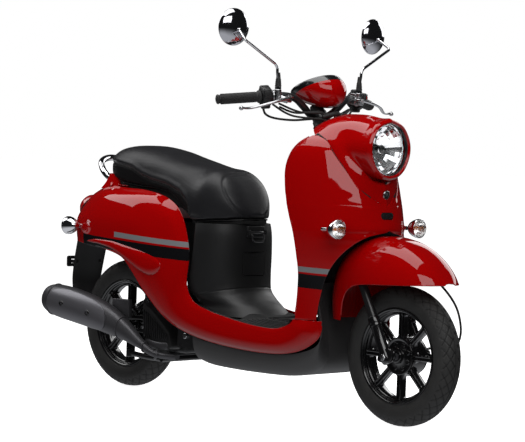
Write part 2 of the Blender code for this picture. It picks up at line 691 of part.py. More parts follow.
# ---- floor, belly and side covers --------------------------------------------------------------
BAND_STATIONS = [  # lower edge x, y, z; bulge x, y, z; upper edge x, y, z
    ((-0.768, 0.0500, 0.478), (-0.772, 0.0500, 0.535), (-0.716, 0.0510, 0.603)),
    ((-0.705, 0.122, 0.468), (-0.706, 0.122, 0.545), (-0.652, 0.078, 0.634)),
    ((-0.610, 0.160, 0.460), (-0.600, 0.163, 0.550), (-0.560, 0.104, 0.650)),
    ((-0.510, 0.176, 0.452), (-0.490, 0.181, 0.550), (-0.470, 0.122, 0.648)),
    ((-0.425, 0.180, 0.432), (-0.380, 0.188, 0.540), (-0.360, 0.130, 0.644)),
    ((-0.375, 0.178, 0.390), (-0.295, 0.188, 0.500), (-0.258, 0.134, 0.622)),
    ((-0.335, 0.174, 0.345), (-0.245, 0.185, 0.430), (-0.190, 0.140, 0.572)),
    ((-0.293, 0.168, 0.303), (-0.215, 0.180, 0.360), (-0.142, 0.152, 0.465)),
    ((-0.245, 0.162, 0.262), (-0.185, 0.174, 0.300), (-0.142, 0.158, 0.368)),
    ((-0.185, 0.158, 0.230), (-0.135, 0.171, 0.262), (-0.110, 0.160, 0.316)),
    ((-0.095, 0.156, 0.206), (-0.060, 0.170, 0.240), (-0.045, 0.162, 0.293)),
    ((0.010, 0.156, 0.192), (0.022, 0.170, 0.226), (0.030, 0.163, 0.279)),
    ((0.115, 0.156, 0.185), (0.120, 0.170, 0.218), (0.125, 0.164, 0.266)),
    ((0.205, 0.157, 0.184), (0.206, 0.171, 0.216), (0.206, 0.165, 0.260)),
    ((0.290, 0.158, 0.190), (0.277, 0.172, 0.220), (0.260, 0.166, 0.262)),
    ((0.365, 0.156, 0.210), (0.335, 0.172, 0.240), (0.302, 0.167, 0.274)),
    ((0.418, 0.151, 0.248), (0.372, 0.171, 0.268), (0.322, 0.168, 0.286)),
    ((0.4285, 0.1490, 0.2950), (0.3850, 0.1640, 0.2950), (0.3300, 0.1690, 0.2952)),
]


def side_covers():
    """One ribbon from the tail, over the swing unit, under the floor and up to the leg shield."""
    rows = []
    for low, bulge, high in BAND_STATIONS:
        low, bulge, high = (Vector((x, -y, z)) for x, y, z in (low, bulge, high))
        rows.append([low, low.lerp(bulge, 0.35) + Vector((0, -0.004, 0)), bulge,
            high.lerp(bulge, 0.40) + Vector((0, -0.006, 0)), high])
    rows = smooth_rows(rows, 22)
    shell("side_cover_right", rows, RED, side=-1)
    shell("side_cover_left", flip_y(rows), RED, side=1)


BELLY_STATIONS = [  # x; lowest z; half width at the bottom; upper edge z and half width
    (-0.124, 0.129, 0.094, 0.205, 0.143),
    (-0.060, 0.119, 0.100, 0.195, 0.150),
    (0.060, 0.115, 0.104, 0.184, 0.151),
    (0.180, 0.115, 0.104, 0.180, 0.152),
    (0.270, 0.118, 0.100, 0.184, 0.152),
    (0.330, 0.128, 0.092, 0.196, 0.150),
    (0.372, 0.150, 0.080, 0.220, 0.146),
    (0.386, 0.190, 0.070, 0.262, 0.141),
    (0.378, 0.250, 0.070, 0.320, 0.139),
    (0.360, 0.330, 0.072, 0.400, 0.137),
    (0.345, 0.400, 0.074, 0.455, 0.134),
]


def belly_row(station, columns):
    x, low, bottom_half, edge_z, edge_half = station
    lean = max(0.0, x - 0.300) * 0.45
    row = []
    for i in range(columns):
        share = i / (columns - 1)
        if share <= 0.4:
            row.append(Vector((x, -bottom_half * share / 0.4, low)))
            continue
        t = (share - 0.4) / 0.6
        y = bottom_half + (edge_half - bottom_half) * math.sin(t * math.pi / 2)
        z = low + (edge_z - low) * (1 - math.cos(t * math.pi / 2))
        row.append(Vector((x + lean * t, -y, z)))
    return row


def under_cover():
    rows = smooth_rows([belly_row(s, 6) for s in BELLY_STATIONS], 12)
    shell("under_cover", rows, BLACK, mirrored=True, side=1)


FLOOR_STATIONS = [  # x, height on the centre line, height and half width of the edge
    (-0.118, 0.300, 0.3060, 0.1535),
    (-0.045, 0.284, 0.2840, 0.1560),
    (0.030, 0.271, 0.2700, 0.1570),
    (0.125, 0.260, 0.2580, 0.1580),
    (0.206, 0.253, 0.2520, 0.1590),
    (0.262, 0.253, 0.2540, 0.1600),
    (0.296, 0.268, 0.2690, 0.1600),
    (0.308, 0.292, 0.2930, 0.1600),
]


def floor_board():
    rows = []
    for x, middle, edge, half_width in FLOOR_STATIONS:
        rows.append([Vector((x, -half_width * i / 3, middle + (edge - middle) * i / 3)) for i in range(4)])
    rows[-1] = [p + Vector((-0.022 * (1 - (p.y / 0.16) ** 2), 0, 0)) for p in rows[-1]]
    board = shell("floor_board", rows, BLACK, mirrored=True, side=1, thickness=0.004)
    pad = block("foot_pad", (0.045, -0.060, 0.250), (0.235, 0.060, FOOT_PAD_TOP), None)
    combine(board, [pad])


FOOT_PAD_TOP = 0.2720
CENTRE_SECTIONS = [  # height, front x, rear x, half width
    (0.3060, 0.070, -0.105, 0.126),
    (0.3240, 0.034, -0.122, 0.137),
    (0.3480, 0.004, -0.140, 0.144),
    (0.3900, -0.005, -0.140, 0.147),
    (0.4600, -0.007, -0.132, 0.147),
    (0.5200, -0.008, -0.130, 0.144),
    (0.5540, -0.012, -0.132, 0.138),
]


def center_cover():
    rows = []
    for height, front, rear, half_width in CENTRE_SECTIONS:
        row = []
        for i in range(7):
            t = i / 6 * math.pi / 2
            row.append(Vector((rear + (front - rear) * math.cos(t) ** 0.9,
                -half_width * math.sin(t) ** 0.9, height)))
        rows.append(row)
    cover = shell("center_cover", rows, BLACK, mirrored=True, side=1)
    opening = block("fuel_opening", (-0.068, -0.048, 0.395), (0.052, 0.048, 0.470), None)
    combine(cover, [opening], "DIFFERENCE")
    block("fuel_lid", (-0.0140, -0.0465, 0.3965), (-0.0105, 0.0465, 0.4685), BLACK)


def tail_cover():
    keys = [  # edge x, y, z; middle x, z
        ((-0.485, 0.108, 0.6540), (-0.500, 0.6560)),
        ((-0.560, 0.0965, 0.6550), (-0.575, 0.6590)),
        ((-0.610, 0.0840, 0.6500), (-0.622, 0.6550)),
        ((-0.655, 0.0690, 0.6350), (-0.662, 0.6410)),
        ((-0.705, 0.0480, 0.6115), (-0.708, 0.6170)),
        ((-0.742, 0.0460, 0.5800), (-0.750, 0.5850)),
        ((-0.772, 0.0460, 0.5350), (-0.780, 0.5380)),
        ((-0.776, 0.0460, 0.4800), (-0.786, 0.4800)),
    ]
    rows = []
    for (x, y, z), (mid_x, mid_z) in keys:
        rows.append([Vector((mid_x + (x - mid_x) * (i / 3) ** 2, -y * i / 3,
            mid_z + (z - mid_z) * (i / 3) ** 2)) for i in range(4)])
    shell("tail_cover", smooth_rows(rows, 10), RED, mirrored=True, side=-1)


TAIL_LIGHT_AT = Vector((-0.770, 0.0, 0.566))
TAIL_LIGHT_OUT = Vector((-0.85, 0.0, 0.52)).normalized()


def lamps():
    """The tail light, and the four turn signals, which are bullet-shaped housings on stalks."""
    dome = [(0.0, 0.046), (0.026, 0.039), (0.043, 0.020), (0.048, 0.0006), (0.0, 0.0006)]
    turned("tail_light", dome, RED_LENS, TAIL_LIGHT_AT, TAIL_LIGHT_OUT, 16)
    bullet = [(0.0, 0.030), (0.0250, 0.029), (0.0265, 0.018), (0.0210, -0.008), (0.0, -0.022)]
    for side, word in ((-1, "right"), (1, "left")):
        for prefix, at, out, stalk_end in (
            ("front_signal_", FRONT_SIGNAL, 1, Vector((0.4500, 0.1700, 0.567))),
            ("rear_signal_", REAR_SIGNAL, -1, Vector((-0.674, 0.1510, 0.516))),
        ):
            centre = on_side(at, side)
            lamp = turned(prefix + word, bullet, CHROME, centre, (out, 0, 0), 14)
            stalk = rod(prefix + "stalk_" + word, on_side(stalk_end, side), centre, 0.0070, None, 8)
            combine(lamp, [stalk])


FRONT_SIGNAL = Vector((0.490, 0.1765, 0.569))
REAR_SIGNAL = Vector((-0.672, 0.1760, 0.517))
RAIL_POINTS = [(-0.578, 0.0830, 0.6700), (-0.606, 0.0850, 0.679), (-0.642, 0.0780, 0.702),
    (-0.673, 0.0540, 0.727), (-0.690, 0.0, 0.738)]


def grab_rail():
    path = [on_side(p, -1) for p in RAIL_POINTS] + [on_side(p, 1) for p in reversed(RAIL_POINTS[:-1])]
    tube("grab_rail", path, 0.0105, CHROME, sides=2, count=17)


def rear_mudguard():
    outline = [(-0.775, 0.474), (-0.792, 0.400), (-0.803, 0.330), (-0.797, 0.270), (-0.789, 0.270),
        (-0.795, 0.330)]
    outline += [(-0.784, 0.400), (-0.766, 0.474)]
    guard = extrude_y("rear_mudguard", outline, -0.066, 0.066, BLACK)
    arms = [block(f"plate_arm_{s}", (-HALF_LENGTH + 0.004, s * 0.050 - 0.005, 0.385),
        (-0.785, s * 0.050 + 0.005, 0.395), None) for s in (-1, 1)]
    plate = block("plate_face", (-HALF_LENGTH, -0.066, 0.372), (-HALF_LENGTH + 0.006, 0.066, 0.408), None)
    combine(guard, arms + [plate])


# ---- seat and what lies under it ---------------------------------------------------------------
SEAT_STATIONS = [  # x, half width, top, lower edge
    (-0.636, 0.030, 0.734, 0.708),
    (-0.612, 0.075, 0.757, 0.694),
    (-0.560, 0.108, 0.775, 0.676),
    (-0.480, 0.126, 0.780, 0.663),
    (-0.390, 0.134, 0.768, 0.657),
    (-0.310, 0.138, 0.749, 0.653),
    (-0.245, 0.140, 0.735, 0.635),
    (-0.200, 0.141, 0.727, 0.602),
    (-0.155, 0.142, 0.720, 0.563),
    (-0.118, 0.140, 0.716, 0.563),
    (-0.086, 0.129, 0.703, 0.565),
    (-0.058, 0.114, 0.684, 0.567),
    (-0.034, 0.096, 0.655, 0.569),
    (-0.012, 0.070, 0.618, 0.572),
    (0.004, 0.030, 0.590, 0.576),
]


def seat_ring(station, columns=12):
    x, half_width, top, low = station
    ring = []
    for i in range(columns + 1):
        t = math.pi * i / columns
        y = half_width * math.copysign(abs(math.cos(t)) ** 0.55, math.cos(t))
        z = low + (top - low) * math.sin(t) ** 0.62
        ring.append(Vector((x, y, z)))
    return ring


def seat():
    rings = smooth_rows([seat_ring(s) for s in SEAT_STATIONS], 16)
    solid_loft("seat_cushion", rings, VINYL)
    rows = []
    for ring in rings[2:-1]:
        x, half_width, low = ring[0]
        rows.append([Vector((x, -(half_width - 0.018) * i, low - 0.0006)) for i in range(2)])
    shell("seat_pan", rows, BLACK, mirrored=True, side=-1, thickness=0.003)


def storage():
    bm = bmesh.new()
    bmesh.ops.create_cube(bm, size=1.0)
    for v in bm.verts:
        top = v.co.z > 0
        v.co = Vector((-0.232 + v.co.x * (0.332 if top else 0.280), v.co.y * (0.205 if top else 0.180),
            0.553 if top else 0.365))
    bmesh.ops.delete(bm, geom=[f for f in bm.faces if f.normal.z > 0.9], context="FACES_ONLY")
    mesh = bpy.data.meshes.new("luggage_box")
    bm.to_mesh(mesh)
    bm.free()
    box = place(bpy.data.objects.new("luggage_box", mesh), BLACK)
    wall = box.modifiers.new("wall", "SOLIDIFY")
    wall.thickness = 0.003
    wall.offset = -1
    block("fuel_tank", (-0.080, -0.125, 0.185), (0.235, -0.024, 0.240), STEEL, 0.012)


def bag_hook():
    path = [(0.0010, -0.026, 0.530), (0.0060, -0.026, 0.512), (0.0060, -0.018, 0.502),
        (0.0060, 0.018, 0.502), (0.0060, 0.026, 0.512), (0.0010, 0.026, 0.530)]
    hook = tube("bag_hook", path, 0.0032, BLACK, sides=0)
    bar = rod("hook_bar", (0.0010, -0.030, 0.530), (0.0010, 0.030, 0.530), 0.0042, None, 8)
    combine(hook, [bar])


# ---- frame -------------------------------------------------------------------------------------
def frame():
    low, high = 0.660, 0.905
    head = turned("frame", [(0.0158, low), (0.0250, low), (0.0250, high), (0.0158, high)], STEEL,
        STEER_FOOT, UP, 12, ring=True)
    spine_path = [fork_point(0.740, -0.010), (0.338, 0.0, 0.590), (0.316, 0.0, 0.480),
        (0.312, 0.0, 0.360), (0.319, 0.0, 0.262), (0.275, 0.0, 0.205)]
    spine_path += [(0.200, 0.0, 0.190), (0.050, 0.0, 0.186), (-0.090, 0.0, 0.198), (-0.142, 0.0, 0.235)]
    spine = tube("frame_spine", spine_path, 0.0160, None, sides=1, count=15)
    cross = rod("frame_cross", (-0.142, -0.125, 0.240), (-0.142, 0.125, 0.240), 0.0130, None, 8)
    rails = []
    for side in (-1, 1):
        path = [(-0.142, side * 0.122, 0.236), (-0.158, side * 0.122, 0.330),
            (-0.180, side * 0.122, 0.440), (-0.235, side * 0.118, 0.540)]
        path += [(-0.330, side * 0.106, 0.590), (-0.480, side * 0.085, 0.608),
            (-0.640, side * 0.060, 0.600)]
        rails.append(tube(f"frame_rail_{side}", path, 0.0100, None, sides=1, count=9))
    tail_bar = rod("frame_tail_bar", (-0.470, -0.0875, 0.6075), (-0.470, 0.0875, 0.6075), 0.0085, None, 8)
    shock_lug = block("frame_shock_lug", (-0.498, 0.055, 0.580), (-0.462, 0.066, 0.608), None)
    hangers = []
    for side in (-1, 1):
        plate = block(f"frame_hanger_{side}", (-0.214, side * 0.118 - 0.004, 0.163),
            (-0.135, side * 0.118 + 0.004, 0.243), None)
        hangers.append(plate)
    pivot_bar = rod("frame_pivot_bar", (SWING_PIVOT.x, -0.118, SWING_PIVOT.z),
        (SWING_PIVOT.x, 0.118, SWING_PIVOT.z), 0.0070, None, 12)
    combine(head, [spine, cross] + rails + [tail_bar, shock_lug] + hangers + [pivot_bar])
    bore = rod("head_bore", fork_point(0.56), fork_point(0.95), 0.0158, None, 12)
    combine(head, [bore], "DIFFERENCE")


# ---- swing unit --------------------------------------------------------------------------------
def swing_unit():
    """Crankcase and drive case in one, hung on the pivot bar, with the wheel's axle at its rear."""
    case = block("engine_unit", (-0.340, -0.062, 0.135), (-0.238, 0.052, 0.262), ENGINE)
    drive_outline = []
    for centre_x, centre_z, radius, start, stop in ((-0.300, 0.212, 0.078, -90, 90),
        (REAR_AXLE_X + 0.004, AXLE_Z + 0.006, 0.066, 90, 270)):
        for i in range(6):
            angle = math.radians(start + (stop - start) * i / 5)
            drive_outline.append((centre_x + radius * math.cos(angle), centre_z + radius * math.sin(angle)))
    drive = extrude_y("drive_case", drive_outline, 0.0475, 0.118, None)
    lug = turned("pivot_lug", [(0.0074, -0.040), (0.0180, -0.040), (0.0180, 0.040), (0.0074, 0.040)],
        None, SWING_PIVOT, (0, 1, 0), 16, ring=True)
    bridge = block("pivot_bridge", (-0.262, -0.036, 0.160), (-0.216, 0.036, 0.196), None)
    bore = rod("pivot_bore", SWING_PIVOT + Vector((0, -0.06, 0)), SWING_PIVOT + Vector((0, 0.06, 0)),
        0.0074, None, 16)
    axle = rod("rear_axle", (REAR_AXLE_X, -0.062, AXLE_Z), (REAR_AXLE_X, 0.052, AXLE_Z), 0.0065, None, 16)
    cylinder = block("cylinder", (-0.262, -0.045, 0.215), (-0.182, 0.045, 0.292), None)
    arm_outline = [(-0.590, 0.190), (-0.590, 0.228), (-0.430, 0.240), (-0.330, 0.235), (-0.330, 0.160),
        (-0.430, 0.182)]
    arm = extrude_y("right_arm", arm_outline, -0.0600, -0.0480, None)
    shock_ear = block("shock_ear", (-0.598, 0.082, 0.262), (-0.570, 0.098, 0.315), None)
    air_box = block("air_box", (-0.520, 0.058, 0.280), (-0.345, 0.118, 0.334), None)
    stand_lug = block("stand_lug", (-0.330, -0.050, 0.122), (-0.300, 0.050, 0.140), None)
    combine(case, [drive, lug, bridge, axle, cylinder, arm, shock_ear, air_box, stand_lug])
    combine(case, [bore], "DIFFERENCE")


def radiator_cover():
    outline = [(-0.386, 0.290), (-0.330, 0.258), (-0.262, 0.200), (-0.250, 0.150), (-0.365, 0.146),
        (-0.385, 0.200)]
    cover = extrude_y("radiator_cover", outline, -0.122, -0.0640, ENGINE)
    slots = []
    for i in range(5):
        x = -0.370 + i * 0.021
        slot = block(f"louvre_{i}", (x, -0.130, 0.165), (x + 0.008, -0.112, 0.272 - i * 0.012), None,
            turn=0.30)
        slots.append(slot)
    combine(cover, slots, "DIFFERENCE")


MUFFLER_AXIS = [  # x, y, z, half height, half width
    (-0.7950, -0.170, 0.278, 0.020, 0.018),
    (-0.7780, -0.170, 0.276, 0.043, 0.036),
    (-0.7300, -0.170, 0.270, 0.054, 0.044),
    (-0.6400, -0.169, 0.259, 0.055, 0.046),
    (-0.5400, -0.166, 0.240, 0.051, 0.043),
    (-0.4600, -0.163, 0.216, 0.042, 0.036),
    (-0.4000, -0.158, 0.190, 0.030, 0.027),
    (-0.3500, -0.150, 0.160, 0.018, 0.017),
    (-0.3050, -0.128, 0.131, 0.012, 0.012),
    (-0.2620, -0.075, 0.122, 0.011, 0.011),
]


def muffler():
    rings = []
    sides = 12
    for x, y, z, half_height, half_width in MUFFLER_AXIS:
        tilt = Vector((0.18, 0, 1)).normalized()
        ring = []
        for i in range(sides):
            t = 2 * math.pi * i / sides
            ring.append(Vector((x, y, z)) + tilt * (half_height * math.cos(t)) + Vector((0,
                half_width * math.sin(t), 0)))
        rings.append(ring)
    solid_loft("muffler", smooth_rows(rings, 13), ENGINE)


KICK_AT = Vector((-0.315, 0.1190, 0.205))


def kick_lever():
    boss = rod("kick_lever", KICK_AT, KICK_AT + Vector((0, 0.014, 0)), 0.013, ENGINE, 14)
    arm = tube("kick_arm", [KICK_AT + Vector((0, 0.008, 0)), KICK_AT + Vector((-0.080, 0.012, 0.020)),
        KICK_AT + Vector((-0.175, 0.014, 0.030))],
               0.0065, None, sides=1)
    pedal = rod("kick_pedal", KICK_AT + Vector((-0.172, 0.004, 0.030)),
        KICK_AT + Vector((-0.172, 0.052, 0.030)), 0.0100, None, 10)
    combine(boss, [arm, pedal])


SHOCK_TOP = Vector((-0.480, 0.0905, 0.581))
SHOCK_FOOT = Vector((-0.590, 0.0905, 0.300))


def shock():
    down = (SHOCK_FOOT - SHOCK_TOP).normalized()
    length = (SHOCK_FOOT - SHOCK_TOP).length
    rod_top = SHOCK_TOP + down * 0.012
    piston = turned("shock_rod", [(0.0, 0.0), (0.019, 0.0), (0.019, 0.012), (0.006, 0.014),
        (0.006, 0.190), (0.0, 0.190)],
                    STEEL, rod_top, down, 12)
    eye = turned("shock_top_eye", [(0.006, -0.011), (0.014, -0.011), (0.014, 0.011), (0.006, 0.011)],
        None, SHOCK_TOP, (0, 1, 0), 12, ring=True)
    combine(piston, [eye])
    body = turned("shock_body", [(0.0, 0.262), (0.0070, 0.262), (0.0070, 0.105), (0.0140, 0.105),
        (0.0140, length - 0.052), (0.020, length - 0.050), (0.020, length - 0.042), (0.0, length - 0.030)],
                  STEEL, SHOCK_TOP, down, 12)
    return body, down, length


def shock_spring(down, length):
    """Six turns of wire between the two seats."""
    turns, per_turn = 6, 8
    low, high = 0.034, length - 0.058
    side = Vector((0, 1, 0))
    other = down.cross(side).normalized()
    path = []
    for i in range(turns * per_turn + 1):
        t = i / (turns * per_turn)
        a = 2 * math.pi * turns * t
        out = side * math.cos(a) + other * math.sin(a)
        path.append(SHOCK_TOP + down * (low + (high - low) * t) + out * 0.0200)
    tube("shock_spring", path, 0.0034, CHROME, sides=0)


STAND_AT = Vector((-0.315, 0.0, 0.112))


def center_stand():
    """Folded back along the belly: a cross tube on the pivot, two legs with feet, and a foot bar."""
    pivot = rod("center_stand", STAND_AT + Vector((0, -0.095, 0)), STAND_AT + Vector((0, 0.095, 0)),
        0.0090, STEEL, 12)
    legs = []
    for side in (-1, 1):
        path = [STAND_AT + Vector((0, side * 0.085, 0)), STAND_AT + Vector((-0.070, side * 0.093, 0.002)),
            STAND_AT + Vector((-0.128, side * 0.112, 0.010))]
        legs.append(tube(f"stand_leg_{side}", path, 0.0090, None, sides=1))
        foot = block(f"stand_foot_{side}", (-0.450, side * 0.112 - 0.012, 0.110),
            (-0.434, side * 0.112 + 0.012, 0.134), None)
        legs.append(foot)
    brace = rod("stand_brace", STAND_AT + Vector((-0.028, -0.088, 0.001)),
        STAND_AT + Vector((-0.028, 0.088, 0.001)), 0.0070, None, 8)
    combine(pivot, legs + [brace])


SIDE_STAND_AT = Vector((-0.170, 0.1250, 0.158))


def side_stand():
    boss = rod("side_stand", SIDE_STAND_AT + Vector((0, 0.0005, 0)),
        SIDE_STAND_AT + Vector((0, 0.0145, 0)), 0.013, STEEL, 12)
    leg = tube("side_stand_leg", [SIDE_STAND_AT + Vector((0, 0.007, 0)), SIDE_STAND_AT + Vector((-0.080,
        0.015, -0.010)), SIDE_STAND_AT + Vector((-0.158, 0.020, -0.015))],
               0.0080, None, sides=1)
    foot = block("side_stand_foot", (-0.348, 0.127, 0.127), (-0.314, 0.165, 0.137), None)
    combine(boss, [leg, foot])


# ---- cables ------------------------------------------------------------------------------------
def cables():
    front = [(0.575, 0.080, 0.4330), (0.640, 0.082, 0.436), (0.702, 0.078, 0.402), (0.748, 0.080, 0.350)]
    front += [(0.764, 0.082, 0.285), (0.748, 0.078, 0.238), (0.705, 0.0700, 0.2120),
        (0.676, 0.0620, 0.2060)]
    tube("front_brake_cable", front, 0.0035, RUBBER, sides=0, count=18)
    throttle = [(0.197, -0.190, 0.914), (0.200, -0.180, 0.896), (0.212, -0.150, 0.884),
        (0.235, -0.100, 0.878), (0.248, -0.062, 0.868), (0.252, -0.050, 0.852)]
    tube("throttle_cable", throttle, 0.0035, RUBBER, sides=0, count=12)


def main():
    wheel("front", FRONT_AXLE_X)
    wheel("rear", REAR_AXLE_X)
    fork()
    front_fender()
    handlebar()
    grips()
    switch_boxes()
    buttons()
    lever_brackets()
    levers()
    mirrors()
    meter()
    leg_shield()
    front_cowl()
    headlight()
    inner_shield()
    ignition_key()
    side_covers()
    under_cover()
    floor_board()
    center_cover()
    tail_cover()
    lamps()
    grab_rail()
    rear_mudguard()
    seat()
    storage()
    bag_hook()
    frame()
    swing_unit()
    radiator_cover()
    muffler()
    kick_lever()
    _, down, length = shock()
    shock_spring(down, length)
    center_stand()
    side_stand()
    cables()


main()
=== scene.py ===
"""Looks for the moped scooter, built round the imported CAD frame."""

import json
from functools import partial
from math import asin, copysign, cos, pi, radians, sin, sqrt

import bmesh
import bpy
import numpy as np
from mathutils import Matrix, Vector
from mathutils.bvhtree import BVHTree


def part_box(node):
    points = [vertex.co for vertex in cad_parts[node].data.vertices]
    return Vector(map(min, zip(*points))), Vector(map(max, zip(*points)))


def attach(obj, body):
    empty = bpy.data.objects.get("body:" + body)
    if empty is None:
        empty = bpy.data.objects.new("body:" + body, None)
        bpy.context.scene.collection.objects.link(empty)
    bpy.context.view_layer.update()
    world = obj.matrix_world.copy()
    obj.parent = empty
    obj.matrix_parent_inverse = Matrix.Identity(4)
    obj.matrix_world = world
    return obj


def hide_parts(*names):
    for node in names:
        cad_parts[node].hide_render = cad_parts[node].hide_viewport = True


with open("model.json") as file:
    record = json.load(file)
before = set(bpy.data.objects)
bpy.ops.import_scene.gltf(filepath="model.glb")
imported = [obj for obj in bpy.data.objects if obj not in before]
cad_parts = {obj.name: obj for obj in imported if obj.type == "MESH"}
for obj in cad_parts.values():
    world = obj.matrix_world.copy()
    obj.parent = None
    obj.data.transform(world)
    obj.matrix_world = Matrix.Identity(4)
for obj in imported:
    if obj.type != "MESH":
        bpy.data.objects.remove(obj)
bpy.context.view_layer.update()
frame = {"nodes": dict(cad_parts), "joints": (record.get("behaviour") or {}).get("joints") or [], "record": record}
V = Vector
FORWARD, ACROSS, SKYWARD = (1, 0, 0), (0, 1, 0), (0, 0, 1)
SIDES = ((-1, "right"), (1, "left"))

# ---- driving dimensions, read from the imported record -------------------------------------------
MOUNTS = {m["name"]: m["pos_m"] for m in frame["record"]["mounts"]}
JOINTS = {j["name"]: j for j in frame["joints"]}
FRONT_AXLE = V(JOINTS["front_wheel_spin"]["pos_m"])
REAR_AXLE = V(JOINTS["rear_wheel_spin"]["pos_m"])
STEER_FOOT = V(JOINTS["steering_turn"]["pos_m"])
UP = V(JOINTS["steering_turn"]["axis"]).normalized()
AHEAD = V((UP.z, 0.0, -UP.x))
SWING_PIVOT = V(JOINTS["rear_suspension"]["pos_m"])
LENS_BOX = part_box("headlight_lens")
LENS_CENTRE = V((LENS_BOX[0].x, 0.0, (LENS_BOX[0].z + LENS_BOX[1].z) / 2))
TYRE_RADIUS = 0.2052
RIM_RADIUS = 0.1405
AXLE_ALONG = (FRONT_AXLE - STEER_FOOT).dot(UP)
FORK_OFFSET = (FRONT_AXLE - STEER_FOOT).dot(AHEAD)
FORK_HALF = 0.075
CROWN_ALONG = 0.505


# ---- materials ---------------------------------------------------------------------------------
def new_material(name):
    made = bpy.data.materials.new(name)
    made.use_nodes = True
    tree = made.node_tree
    return made, tree, tree.nodes["Principled BSDF"]


def add_node(tree, kind, values=None, **settings):
    node = tree.nodes.new(kind)
    for key, value in settings.items():
        setattr(node, key, value)
    for key, value in (values or {}).items():
        node.inputs[key].default_value = value
    return node


def math_node(tree, operation, a, b=None, c=None):
    node = add_node(tree, "ShaderNodeMath", operation=operation)
    for i, value in enumerate((a, b, c)):
        if value is None:
            continue
        if isinstance(value, (int, float)):
            node.inputs[i].default_value = value
        else:
            tree.links.new(value, node.inputs[i])
    return node.outputs[0]


def object_coordinates(tree):
    return add_node(tree, "ShaderNodeTexCoord").outputs["Object"]


def mix_colour(tree, factor, a, b):
    node = add_node(tree, "ShaderNodeMix", data_type="RGBA")
    for i, value in ((0, factor), (6, a), (7, b)):
        if isinstance(value, (tuple, list)):
            node.inputs[i].default_value = (*value[:3], 1.0)
        elif isinstance(value, (int, float)):
            node.inputs[i].default_value = value
        else:
            tree.links.new(value, node.inputs[i])
    return node.outputs[2]


def noise(tree, coords, scale, detail=3.0):
    node = add_node(tree, "ShaderNodeTexNoise", {"Scale": scale, "Detail": detail})
    tree.links.new(coords, node.inputs["Vector"])
    return node.outputs["Fac"]


def voronoi(tree, coords, scale):
    node = add_node(tree, "ShaderNodeTexVoronoi", {"Scale": scale}, feature="SMOOTH_F1")
    tree.links.new(coords, node.inputs["Vector"])
    return node.outputs["Distance"]


def add_bump(tree, shader, height, strength, distance):
    bump = add_node(tree, "ShaderNodeBump", {"Strength": strength, "Distance": distance})
    tree.links.new(height, bump.inputs["Height"])
    tree.links.new(bump.outputs["Normal"], shader.inputs["Normal"])


def surface(
    name, colour, rough, metal=0.0, coat=0.0, grain=None, mottle=0.12, rough_swing=0.08, specular=0.5
):
    """A finish with its own fine relief (grain = scale, height), and slow changes of tone and of gloss."""
    made, tree, shader = new_material(name)
    coords = object_coordinates(tree)
    calc = partial(math_node, tree)
    slow = noise(tree, coords, 9.0, 4.0)
    fine = noise(tree, coords, 180.0, 2.0)
    blend = calc("ADD", calc("MULTIPLY", slow, 0.65), calc("MULTIPLY", fine, 0.35))
    dark = tuple(c * (1 - mottle) for c in colour)
    light = tuple(min(1.0, c * (1 + mottle)) for c in colour)
    tone = mix_colour(tree, blend, dark, light)
    tree.links.new(tone, shader.inputs["Base Color"])
    swing = calc("MULTIPLY_ADD", blend, 2 * rough_swing, rough - rough_swing)
    tree.links.new(calc("MAXIMUM", swing, 0.03), shader.inputs["Roughness"])
    shader.inputs["Metallic"].default_value = metal
    shader.inputs["Specular IOR Level"].default_value = specular
    shader.inputs["Coat Weight"].default_value = coat
    shader.inputs["Coat Roughness"].default_value = 0.04
    if grain:
        scale, height = grain
        cells = voronoi(tree, coords, scale)
        rough_noise = noise(tree, coords, scale * 1.7, 3.0)
        relief = calc("ADD", cells, calc("MULTIPLY", rough_noise, 0.6))
        add_bump(tree, shader, relief, 0.6, height)
    return made, tree, shader, coords, tone


def finish(*values, **settings):
    """Only the material of a surface."""
    return surface(*values, **settings)[0]


def paint(name, stripes=None):
    """Gloss red lacquer with a trace of flake and orange peel, and bands laid over it if given."""
    made, tree, shader, coords, tone = surface(
        name, (
            0.33, 0.0006, 0.0008
        ), 0.45, coat=1.0, grain=(520.0, 0.00004), mottle=0.05, rough_swing=0.03, specular=0.0
    )
    shader.inputs["Coat Roughness"].default_value = 0.025
    shader.inputs["Coat IOR"].default_value = 1.5
    if not stripes:
        return made
    calc = partial(math_node, tree)
    split = add_node(tree, "ShaderNodeSeparateXYZ")
    tree.links.new(coords, split.inputs[0])
    x, z = split.outputs["X"], split.outputs["Z"]
    result = tone
    for colour, slope, top, bottom, rear in stripes:
        level = calc("MULTIPLY_ADD", x, slope, z)
        below = calc("LESS_THAN", level, top)
        above = calc("GREATER_THAN", level, bottom)
        ahead = calc("GREATER_THAN", x, rear)
        mask = calc("MULTIPLY", calc("MULTIPLY", below, above), ahead)
        result = mix_colour(tree, mask, result, colour)
    tree.links.new(result, shader.inputs["Base Color"])
    return made


